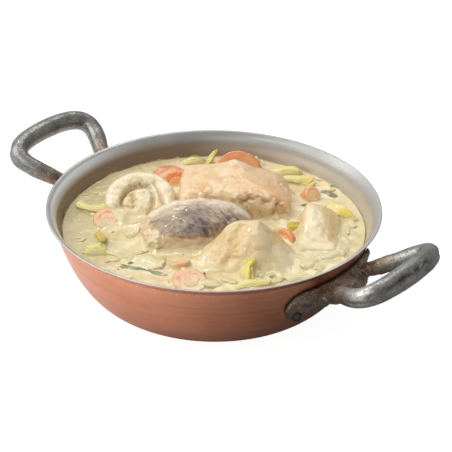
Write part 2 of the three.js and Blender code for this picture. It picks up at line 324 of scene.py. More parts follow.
# filmed: sauce clings to what stands in it, up to an uneven line above its level
filmed, given, taken = startGroup(
    "filmed",
    [("Color", "Color", (1, 1, 1, 1)), ("Sauce", "Color", colour(228, 210, 170)), ("Coat", "Float", 0.0),
     ("Line", "Float", 1.2), ("Fade", "Float", 2.0), ("Veil", "Float", 0.25)],
    [("Color", "Color"), ("Film", "Float")],
)
place = placeIn(filmed)
above = calc(filmed, "SUBTRACT", times(filmed, heightOf(filmed, place), 1000.0), sauceLevel)
uneven = times(filmed, calc(filmed, "SUBTRACT", noiseAt(filmed, place, 160.0, 3.0), 0.5), 5.0)
past = calc(filmed, "SUBTRACT", calc(filmed, "ADD", above, uneven), given["Line"])
past = calc(filmed, "SUBTRACT", past, times(filmed, given["Coat"], 24.0))
low = calc(filmed, "SUBTRACT", 1.0, remap(filmed, calc(filmed, "DIVIDE", past, given["Fade"]), 0.0, 1.0))
veil = times(filmed, given["Veil"], remap(filmed, noiseAt(filmed, place, 95.0, 2.0), 0.42, 0.62))
film = calc(filmed, "MAXIMUM", low, veil)
filmed.links.new(blend(filmed, film, given["Color"], given["Sauce"]), taken["Color"])
filmed.links.new(film, taken["Film"])

# grain: fine noise drawn out along an axis, for brushed metal and for fibres
grain, given, taken = startGroup(
    "grain",
    [("Vector", "Vector", (0, 0, 0)), ("Stretch", "Vector", (1, 1, 1)), ("Detail", "Float", 2.0)],
    [("Height", "Float")],
)
drawn = put(grain, "ShaderNodeVectorMath", {0: given["Vector"], 1: given["Stretch"]}, operation="MULTIPLY")
grain.links.new(noiseAt(grain, drawn.outputs[0], 1.0, given["Detail"], Roughness=0.6), taken["Height"])


def patchy(tree, size, detail, low, high):
    return use(tree, patches, Size=size, Detail=detail, Low=low, High=high)["Mask"]


def grained(tree, vector, stretch, detail):
    return use(tree, grain, Vector=vector, Stretch=stretch, Detail=detail)["Height"]


def polishRings(tree):
    # position with its distance from the pan's axis added to the height, so that fine lines run round
    parts = put(tree, "ShaderNodeSeparateXYZ", {0: placeIn(tree)}).outputs
    flat = put(tree, "ShaderNodeCombineXYZ", {0: parts[0], 1: parts[1], 2: 0.0}).outputs[0]
    out = put(tree, "ShaderNodeVectorMath", {0: flat}, operation="LENGTH").outputs["Value"]
    return put(tree, "ShaderNodeCombineXYZ", {0: parts[0], 1: parts[1], 2: calc(tree, "ADD", parts[2], out)}).outputs[0]


def copperFinish():
    material, tree, shader = startMaterial("satinCopper")
    rings = polishRings(tree)
    lines = grained(tree, rings, (9, 9, 1700), 4.0)
    brushed = grained(tree, rings, (16, 16, 380), 4.0)
    stains = patchy(tree, 5.0, 5.0, 0.56, 0.78)
    base = blend(tree, patchy(tree, 26.0, 4.0, 0.4, 0.68), (224, 152, 116), (214, 140, 104))
    base = over(tree, base, stains, 0.2, (176, 100, 72))
    base = blend(tree, remap(tree, lines, 0.35, 0.7, 0.0, 0.25), base, (232, 168, 134))
    base = blend(tree, remap(tree, brushed, 0.42, 0.66, 0.0, 0.3), base, (190, 112, 78))
    # the rolled lip is painted paler in specks, a painted highlight
    high = remap(tree, heightOf(tree, placeIn(tree)), 0.0435, 0.0515)
    base = over(tree, base, times(tree, high, patchy(tree, 1.6, 4.0, 0.5, 0.64)), 0.6, (242, 206, 190))
    rough = calc(tree, "ADD", remap(tree, lines, 0.3, 0.7, 0.3, 0.42), times(tree, stains, 0.06))
    fill(tree, shader, {"Base Color": base, "Roughness": rough, "Metallic": 1, "Coat Weight": 0.6,
                        "Coat Roughness": 0.35})
    addBump(tree, shader, lines, 0.14, 0.0003)
    return material


def tinFinish():
    material, tree, shader = startMaterial("dullTin")
    lines = grained(tree, polishRings(tree), (18, 18, 900), 3.0)
    place = placeIn(tree)
    height = heightOf(tree, place)
    across = alongLine(tree, place, (math.cos(servedTurn), math.sin(servedTurn), 0))
    away = alongLine(tree, place, (-math.sin(servedTurn - 0.5), math.cos(servedTurn - 0.5), 0))
    base = blend(tree, patchy(tree, 18.0, 4.0, 0.35, 0.65), (190, 189, 187), (178, 177, 174))
    # the band below the lip is painted brighter at the left and the right as painted highlight, and darker at the back
    # as painted shade
    base = blend(tree, remap(tree, across, 0.02, 0.08), base, (210, 209, 206))
    base = blend(tree, remap(tree, away, 0.045, 0.095), base, (150, 150, 148))
    base = blend(tree, remap(tree, across, 0.062, 0.088), base, (188, 187, 184))
    # painted highlight on the lip at the left
    litBand = times(tree, remap(tree, across, -0.05, -0.088), remap(tree, height, 0.0534, 0.0522))
    base = blend(tree, litBand, base, (248, 252, 255))
    # the low wall is painted darker at the left as painted shade, and lighter at the right as painted light
    low = blend(tree, remap(tree, across, -0.03, 0.07), (140, 128, 116), (214, 210, 202))
    base = blend(tree, remap(tree, height, 0.0515, 0.0455), base, low)
    tone = use(tree, sauceTone, Green=0.5)["Color"]
    coated = use(tree, filmed, Color=base, Sauce=tone, Line=0.1, Fade=0.8, Veil=0.0)
    rough = blend(tree, coated["Film"], remap(tree, lines, 0.3, 0.7, 0.34, 0.44), (0.4, 0.4, 0.4, 1))
    fill(tree, shader, {"Base Color": coated["Color"], "Roughness": rough,
                        "Metallic": remap(tree, coated["Film"], 0.0, 1.0, 0.75, 0.0)})
    addBump(tree, shader, lines, 0.08, 0.0003)
    return material


def ironFinish(name, bare, shade):
    # its masks are painted on the mesh as rust, as soot with painted shade, and as a painted highlight
    material, tree, shader = startMaterial(name)
    rough, sootAndShade = attribute(tree, "rust"), attribute(tree, "sootAndShade")
    pits = patchy(tree, 1.1, 4.0, 0.48, 0.62)
    rust = times(tree, rough, patchy(tree, 4.0, 4.0, 0.4, 0.56))
    scale = times(tree, rough, patchy(tree, 0.7, 3.0, 0.56, 0.68))
    base = blend(tree, patchy(tree, 9.0, 4.0, 0.36, 0.66), bare, shade)
    # a painted highlight, lighter where its mask is painted
    base = blend(tree, attribute(tree, "paintedHighlight"), base, (226, 225, 220))
    base = over(tree, base, pits, 0.4, (58, 58, 56))
    base = over(tree, base, rough, 0.5, (158, 140, 118))
    base = over(tree, base, rust, 0.7, (112, 70, 42))
    base = blend(tree, scale, base, (240, 216, 180))
    # soot, and painted shade where the handle meets the pan and along the parting line
    base = over(tree, base, sootAndShade, 0.85, (24, 22, 20))
    fill(tree, shader, {
        "Base Color": base,
        "Roughness": calc(tree, "ADD", remap(tree, pits, 0.0, 1.0, 0.3, 0.42), times(tree, rough, 0.12)),
        "Metallic": remap(tree, calc(tree, "ADD", rust, sootAndShade), 0.0, 1.0, 0.92, 0.6),
    })
    grit = calc(tree, "SUBTRACT", times(tree, scale, 0.8), times(tree, pits, 0.35))
    addBump(tree, shader, grit, 0.6, 0.0003)
    return material


def softFood(tree, shader, base, wet, depth, rough):
    # light that sinks in to a depth in millimetres, and a wet sheen
    fill(tree, shader, {
        "Base Color": base, "Roughness": rough, "Coat Weight": wet, "Coat Roughness": 0.08,
        "Subsurface Weight": 0.22, "Subsurface Radius": (1, 0.62, 0.36), "Subsurface Scale": depth * mm,
    })


def coatedIn(tree, base, line, fade, veil):
    # the piece's own colour with sauce on it, thickest where its coat mask is painted
    tone = use(tree, sauceTone, Green=0.25)["Color"]
    return use(tree, filmed, Color=base, Sauce=tone, Coat=attribute(tree, "coat"), Line=line, Fade=fade, Veil=veil)


def sauceFinish():
    material, tree, shader = startMaterial("creamSauce")
    base = use(tree, sauceTone, Green=attribute(tree, "green"))["Color"]
    # painted shade: the sauce is a little darker where it meets the pieces
    base = over(tree, base, attribute(tree, "hem"), 0.12, (214, 190, 142))
    softFood(tree, shader, base, 0.7, 3.0, 0.36)
    addBump(tree, shader, noiseAt(tree, placeIn(tree), 210.0, 4.0), 0.3, 0.001)
    return material


def fleshFinish(name, pale, shade, line, fibreTurn, brown, gold):
    # flesh of cooked fish. Its masks are painted on the mesh as brown, gold, dark and pale
    material, tree, shader = startMaterial(name)
    laid = put(tree, "ShaderNodeVectorRotate",
               {"Vector": attribute(tree, "local", "Vector"), "Angle": math.radians(fibreTurn)}, rotation_type="Z_AXIS")
    fibres = grained(tree, laid.outputs[0], (0.07, 0.75, 0.3), 4.0)
    small = patchy(tree, 2.2, 4.0, 0.4, 0.66)
    spotted = remap(tree, small, 0.0, 1.0, 0.6, 1.0)
    base = blend(tree, patchy(tree, 9.0, 4.0, 0.36, 0.64), pale, shade)
    base = over(tree, base, patchy(tree, 17.0, 3.0, 0.48, 0.66), 0.4, gold)
    base = blend(tree, remap(tree, fibres, 0.5, 0.68, 0.0, 0.35), base, line)
    base = over(tree, base, attribute(tree, "gold"), spotted, gold)
    base = over(tree, base, attribute(tree, "brown"), spotted, brown)
    base = blend(tree, attribute(tree, "dark"), base, (128, 108, 84))
    base = blend(tree, attribute(tree, "pale"), base, (246, 234, 204))
    coated = coatedIn(tree, base, 0.8, 3.0, 0.25)
    softFood(tree, shader, coated["Color"], 0.8, 3.2, 0.38)
    relief = calc(tree, "ADD", times(tree, fibres, 0.6), times(tree, small, 0.3))
    addBump(tree, shader, times(tree, relief, calc(tree, "SUBTRACT", 1.0, coated["Film"])), 0.6, 0.001)
    return material


def skinFinish():
    # skin of the middle fillet: soft dark streaks run down to the right over grey and brown patches
    material, tree, shader = startMaterial("fishSkin")
    flow = attribute(tree, "flow", "Vector")
    streaks = grained(tree, flow, (0.26, 0.8, 0.4), 5.0)
    threads = grained(tree, flow, (0.35, 2.0, 0.7), 4.0)
    mottle = patchy(tree, 8.0, 4.0, 0.36, 0.62)
    pale = attribute(tree, "pale")
    bare = calc(tree, "SUBTRACT", 1.0, pale)
    coat = blend(tree, mottle, (172, 136, 94), (130, 96, 64))
    coat = blend(tree, remap(tree, streaks, 0.42, 0.52, 0.35, 0.0), coat, (204, 180, 142))
    coat = over(tree, coat, attribute(tree, "blue"), 0.8, (134, 128, 120))
    coat = over(tree, coat, attribute(tree, "plum"), 0.8, (78, 52, 42))
    coat = blend(tree, remap(tree, threads, 0.58, 0.72, 0.0, 0.2), coat, (204, 182, 150))
    inked = times(tree, times(tree, remap(tree, streaks, 0.55, 0.61), bare), attribute(tree, "lined"))
    coat = over(tree, coat, inked, 0.8, (52, 38, 32))
    coat = over(tree, coat, times(tree, patchy(tree, 1.2, 2.0, 0.6, 0.7), bare), 0.5, (74, 66, 64))
    coat = over(tree, coat, pale, 0.95, (230, 216, 190))
    flesh = blend(tree, mottle, (222, 198, 158), (206, 178, 134))
    flesh = blend(tree, attribute(tree, "brown"), flesh, (186, 142, 98))
    base = blend(tree, attribute(tree, "skin"), flesh, coat)
    base = blend(tree, attribute(tree, "dark"), base, (58, 52, 52))
    softFood(tree, shader, coatedIn(tree, base, 0.8, 3.4, 0.1)["Color"], 0.7, 2.0, 0.36)
    relief = calc(tree, "SUBTRACT", times(tree, threads, 0.6), times(tree, inked, 0.4))
    addBump(tree, shader, relief, 0.3, 0.0008)
    return material


def carrotFinish(name, flesh, core, heart, veil, ringed):
    # ring is 0 in the middle of a slice and 1 at its edge
    material, tree, shader = startMaterial(name)
    ring = attribute(tree, "ring")
    rays = noiseAt(tree, attribute(tree, "local", "Vector"), 0.9, 3.0)
    band = times(tree, remap(tree, ring, 0.5, 0.57), remap(tree, ring, 0.64, 0.57))
    base = over(tree, flesh, patchy(tree, 4.0, 4.0, 0.36, 0.64), 0.5, heart)
    base = blend(tree, remap(tree, ring, 0.62, 0.48, 0.0, 0.7 * ringed), base, core)
    base = over(tree, base, band, 0.6 * ringed, (246, 190, 140))
    base = blend(tree, remap(tree, ring, 0.84, 0.95, 0.0, 0.75), base, heart)
    base = blend(tree, remap(tree, rays, 0.5, 0.7, 0.0, 0.35), base, (248, 196, 150))
    softFood(tree, shader, coatedIn(tree, base, 0.6, 2.4, veil)["Color"], 0.5, 2.6, 0.36)
    addBump(tree, shader, rays, 0.3, 0.0006)
    return material


def leekFinish(name, pale, vein, tip, veil, line=0.5):
    # veins run along a piece, and its colour deepens to the tip
    material, tree, shader = startMaterial(name)
    veins = grained(tree, attribute(tree, "local", "Vector"), (0.06, 1.5, 1.5), 3.0)
    mottle = patchy(tree, 4.5, 3.0, 0.36, 0.66)
    base = blend(tree, remap(tree, veins, 0.4, 0.64), pale, vein)
    base = over(tree, base, attribute(tree, "tip"), remap(tree, mottle, 0.0, 1.0, 0.5, 1.0), tip)
    softFood(tree, shader, coatedIn(tree, base, line, 2.6, veil)["Color"], 0.5, 2.4, 0.36)
    addBump(tree, shader, veins, 0.4, 0.0007)
    return material


def plainFinish(name, base, spread):
    material, tree, shader = startMaterial(name)
    softFood(tree, shader, blend(tree, patchy(tree, 1.5, 3.0, 0.35, 0.65), base, spread), 0.4, 1.0, 0.45)
    return material


copper = copperFinish()
tin = tinFinish()
iron = ironFinish("castIron", (158, 158, 154), (128, 128, 124))
rivetIron = ironFinish("rivetIron", (74, 76, 80), (52, 53, 56))
cream = sauceFinish()
skin = skinFinish()
whiteFlesh = fleshFinish("whiteFlesh", (226, 199, 144), (214, 186, 130), (208, 174, 116), 20,
                         (202, 156, 102), (228, 188, 104))
rollFlesh = fleshFinish("rolledFlesh", (236, 222, 188), (221, 204, 160), (216, 196, 152), 90,
                        (190, 154, 102), (222, 192, 132))
brownedFlesh = fleshFinish("brownedFlesh", (238, 206, 162), (226, 184, 134), (216, 166, 112), 10,
                           (140, 88, 50), (234, 176, 98))
orangeCarrot = carrotFinish("orangeCarrot", (226, 140, 72), (230, 160, 98), (218, 118, 44), 0.2, 1.0)
rosyCarrot = carrotFinish("rosyCarrot", (222, 128, 84), (226, 152, 108), (206, 96, 48), 0.5, 0.4)
paleCarrot = carrotFinish("paleCarrot", (234, 190, 150), (234, 190, 150), (226, 158, 104), 0.12, 0.2)
peachCarrot = carrotFinish("peachCarrot", (242, 198, 152), (240, 196, 148), (230, 142, 70), 0.15, 0.3)
paleLeek = leekFinish("paleLeek", (230, 223, 184), (216, 207, 154), (204, 194, 112), 0.3)
yellowLeek = leekFinish("yellowLeek", (232, 221, 150), (218, 204, 112), (228, 200, 62), 0.22)
greenLeek = leekFinish("greenLeek", (196, 200, 124), (160, 172, 84), (120, 138, 50), 0.15)
oliveLeek = leekFinish("oliveLeek", (214, 192, 76), (200, 172, 50), (146, 120, 26), 0.0)
darkLeek = leekFinish("darkLeek", (116, 132, 88), (74, 96, 58), (48, 70, 44), 0.0, -1.0)
print("finishes ready")


def makePan():
    # the wall flares out over the shoulder to a lip that is rounded over
    up = bowl["height"]
    lip = [(96.6, 50.2), (98.0, 51.7), (99.1, 52.7), (99.75, 53.1), (100.0, 53.45), (99.95, 53.8), (99.6, up),
           (99.0, up), (98.2, 53.6), (97.2, 52.8), (96.2, 51.8), (95.3, 50.6), (94.5, 49.2), (93.9, 47.6),
           (93.45, 45.8)]
    inside = [point for point in bowlSide(bowl["wall"], 30)[::-1] if point[1] < 44.5]
    profile = [(0, 0), (30, 0), (55, 0), *bowlSide(0, 30), *lip, *inside, (50, 2.0), (25, 2.0), (0, 2.0)]
    bm = spunShape(profile, 224)
    points = getPoints(bm)
    dents = cloud(points, 34, 2, seed=4)[:, None] * points * (1, 1, 0) / 100
    setPoints(bm, points + 0.08 * dents)
    bmesh.ops.recalc_face_normals(bm, faces=bm.faces[:])
    tinned = []
    for face in bm.faces:
        middle = face.calc_center_median()
        outward = face.normal.x * middle.x + face.normal.y * middle.y
        tinned.append(int(face.normal.z > 0.35 or (outward < 0 and middle.z > 1)))
    finishPiece("copperPan", bm, [copper, tin], ["pan"], turn=0, faceSlots=tinned)


makePan()
print("pan ready")


handle = {
    "root": (97.0, 37.1), "rootHalf": 18.5, "tilt": math.radians(28.2),
    "neck": (14.1, 11.9), "grip": (47.3, 62.0),
    # share of the way from root to grip, half the bar's width and half its thickness
    "bar": ((0.0, 3.9, 3.9), (0.45, 5.9, 5.25), (1.0, 5.85, 6.85)),
    "stations": 72, "sides": 56, "seam": (math.radians(-20), 1.5, 0.2),
    "voxel": 0.62,
    # size and octaves of the cast lumps, then their height along the grip and near the pan
    "lumps": ((5.5, 3, 0.1, 0.6), (1.6, 2, 0.045, 0.26)),
    # paths where the parting line is open, where a painted highlight lies on the bar and where the boss is painted
    # darker
    "parting": ((134, -34.5, 57.5), (138.6, -27.9, 60.7), (141, -21.7, 61.8), (142, -13.7, 63), (143, 0.6, 63.2),
                (142.4, 10, 63.2)),
    "highlightPath": ((111, -24, 50), (122, -33, 56), (128, -35, 58)),
    "darkenedAt": ((99, 5, 40), (101, 10, 38), (99, 16, 33)),
}
flange = {"half": 40.5, "middle": 31.0, "halfHeight": 11.5, "thick": 4.4}
boss = {"at": (95.0, 0.0, 34.5), "size": (10.5, 20.0, 7.8)}
rivet = {"angle": 20.5, "up": 26.5, "head": 3.1, "dome": 3.1, "seat": flange["thick"] * 0.78}


def loopPath(share):
    # share runs from 0 at one root through 0.5 at the grip to 1 at the other root
    out, up = handle["root"]
    side = -1 if share < 0.5 else 1
    step = 1 - abs(2 * share - 1)
    neckOut, neckAcross = handle["neck"]
    gripOut, gripAcross = handle["grip"]
    ends = [(0, handle["rootHalf"]), (neckOut, neckAcross), (gripOut, gripAcross), (gripOut, 0)]
    weights = [(1 - step) ** 3, 3 * step * (1 - step) ** 2, 3 * step**2 * (1 - step), step**3]
    reach = sum(weight * end[0] for weight, end in zip(weights, ends))
    across = side * sum(weight * end[1] for weight, end in zip(weights, ends))
    tilt = handle["tilt"]
    return Vector((out + reach * math.cos(tilt), across, up + reach * math.sin(tilt))), step


def addLoop(bm):
    normal = Vector((-math.sin(handle["tilt"]), 0, math.cos(handle["tilt"])))
    shares, wide, thick = zip(*handle["bar"])
    seamAngle, seamDepth, seamWidth = handle["seam"]
    rings = []
    for station in range(handle["stations"] + 1):
        share = station / handle["stations"]
        middle, step = loopPath(share)
        before, _ = loopPath(max(0, share - 0.004))
        after, _ = loopPath(min(1, share + 0.004))
        outward = (after - before).normalized().cross(normal)
        frameTurn = Matrix((outward, normal, (after - before).normalized())).transposed().to_4x4()
        ring = bmesh.ops.create_circle(bm, cap_ends=station in (0, handle["stations"]), segments=handle["sides"],
                                       radius=1, matrix=Matrix.Translation(middle) @ frameTurn)["verts"]
        halfWide = np.interp(step, shares, wide)
        halfThick = np.interp(step, shares, thick)
        wave = seamAngle + 0.22 * math.sin(share * 31) + 0.1 * math.sin(share * 83)
        for vert in ring:
            offset = vert.co - middle
            angle = math.atan2(offset.dot(normal), offset.dot(outward))
            near = math.exp(-(((angle - wave) / seamWidth) ** 2)) * ease(0.35, 0.6, step)
            shrink = 1 - seamDepth * float(near) / 6
            across, up = halfWide * math.cos(angle), halfThick * math.sin(angle)
            vert.co = middle + shrink * (outward * across + normal * up)
        rings.append(ring)
    for first, second in zip(rings, rings[1:]):
        rim = [edge for ring in (first, second) for edge in {e for v in ring for e in v.link_edges}
               if all(v in ring for v in edge.verts)]
        bmesh.ops.bridge_loops(bm, edges=rim)


def addFlange(bm):
    block, unit = roundedBlock(26, 9)
    half, tall = flange["half"], flange["halfHeight"]
    along = unit[:, 1] * half
    past = np.maximum(0, np.abs(along) - (half - tall))
    reach = np.sqrt(np.maximum(0.6, tall**2 - past**2))
    up = flange["middle"] + unit[:, 2] * reach
    swell = 1 - 0.45 * (unit[:, 2] ** 2) - 0.25 * ease(0.6, 1.0, np.abs(unit[:, 1]))
    radius = wallRadius(up) + np.where(unit[:, 0] > 0, flange["thick"] * swell, -1.5) * np.abs(unit[:, 0])
    angle = along / 92
    addCopy(bm, block, np.c_[radius * np.cos(angle), radius * np.sin(angle), up])
    block.free()


def remeshed(bm, voxel):
    # one skin round everything in the mesh
    mesh = meshFrom(bm, "rough")
    rough = addObject("rough", mesh)
    shrink = rough.modifiers.new("skin", "REMESH")
    shrink.mode = "VOXEL"
    shrink.voxel_size = voxel
    skinned = rough.evaluated_get(bpy.context.evaluated_depsgraph_get()).to_mesh()
    result = bmesh.new()
    result.from_mesh(skinned)
    bpy.data.objects.remove(rough)
    bpy.data.meshes.remove(mesh)
    return result


def makeHandle(name, node, turn, seed):
    bm = bmesh.new()
    addLoop(bm)
    addFlange(bm)
    bossTurn = Matrix.Translation(boss["at"]) @ Matrix.Diagonal((*boss["size"], 1))
    bmesh.ops.create_icosphere(bm, subdivisions=4, radius=1, matrix=bossTurn)
    bm = remeshed(bm, handle["voxel"])
    for _ in range(5):
        bmesh.ops.smooth_vert(bm, verts=bm.verts[:], factor=0.6, use_axis_x=True, use_axis_y=True, use_axis_z=True)
    points = getPoints(bm)
    normals = getNormals(bm)
    # the casting is rougher near the pan
    rough = ease(118, 104, points[:, 0])
    lift = sum(lerp(fine, coarse, rough) * cloud(points, size, octaves, seed + offset)
               for offset, (size, octaves, fine, coarse) in enumerate(handle["lumps"]))
    parting = nearStroke(points + 0.5 * cloud(points, 5, 2, seed + 3)[:, None], handle["parting"], 1.2)
    parting *= ease(-0.6, 0.0, cloud(points, 4, 2, seed + 4)) * (turn == 0)
    lift -= 0.6 * parting
    points += normals * lift[:, None]
    out = np.hypot(points[:, 0], points[:, 1])
    rest = wallRadius(points[:, 2]) + 0.35
    push = np.where(out < rest, rest / out, 1.0)
    points[:, :2] *= push[:, None]
    setPoints(bm, points)
    rust = ease(121, 101, points[:, 0]) * (0.75 + 0.25 * ease(26, 40, points[:, 2]))
    # painted shade within a few millimetres of the pan wall and along the parting line, random soot blotches near the
    # pan, and a patch painted darker on the boss
    sootAndShade = ease(2.6, 0.4, out - wallRadius(points[:, 2])) + 0.8 * ease(0.1, 0.9, -cloud(points, 9, 2, seed + 2)) * rough
    sootAndShade += parting + 0.5 * nearStroke(points, handle["darkenedAt"], 3.5)
    # a painted highlight on the bend of the near arm of the right handle
    paintedHighlight = 0.6 * nearStroke(points, handle["highlightPath"], 7.5) * (turn == 0)
    masks = {"rust": rust, "sootAndShade": np.clip(sootAndShade, 0, 1), "paintedHighlight": paintedHighlight}
    finishPiece(name, bm, [iron], [node], masks, turn=turn)


def makeRivet(name, node, side):
    head, dome, seat = rivet["head"], rivet["dome"], rivet["seat"]
    tail = bowl["wall"] + 0.4
    arch = [(head * math.cos(a), seat + dome * math.sin(a)) for a in np.radians(np.linspace(0, 84, 9))]
    profile = [(0, -tail - 1.0), (head, -tail - 0.9), (head, -tail), (1.5, -tail), (1.5, seat - 0.2),
               (head - 0.2, seat - 0.3), *arch, (0, seat + dome)]
    bm = spunShape(profile, 40)
    points = getPoints(bm)
    points += getNormals(bm) * 0.12 * cloud(points, 1.8, 2, seed=side)[:, None]
    setPoints(bm, points)
    facing = math.radians(side)
    radius = float(wallRadius(rivet["up"]))
    slope = math.atan(float(wallRadius(rivet["up"] + 1)) - radius)
    stand = Matrix.Rotation(facing, 4, "Z") @ Matrix.Translation((radius, 0, rivet["up"]))
    bm.transform(stand @ Matrix.Rotation(math.pi / 2 + slope, 4, "Y"))
    plain = np.full(len(bm.verts), 0.1)
    finishPiece(name, bm, [rivetIron], [node], {"rust": plain, "sootAndShade": plain * 0.6, "paintedHighlight": plain * 0}, turn=0)


makeHandle("rightHandle", "handle_right", 0, 1)
makeHandle("leftHandle", "handle_left", math.pi, 11)
for sideName, facing in (("right", 0), ("left", 180)):
    for endName, offset in (("front", -rivet["angle"]), ("back", rivet["angle"])):
        makeRivet(f"{sideName}Rivet{endName.title()}", f"rivet_{sideName}_{endName}", facing + offset)
print("handles ready")


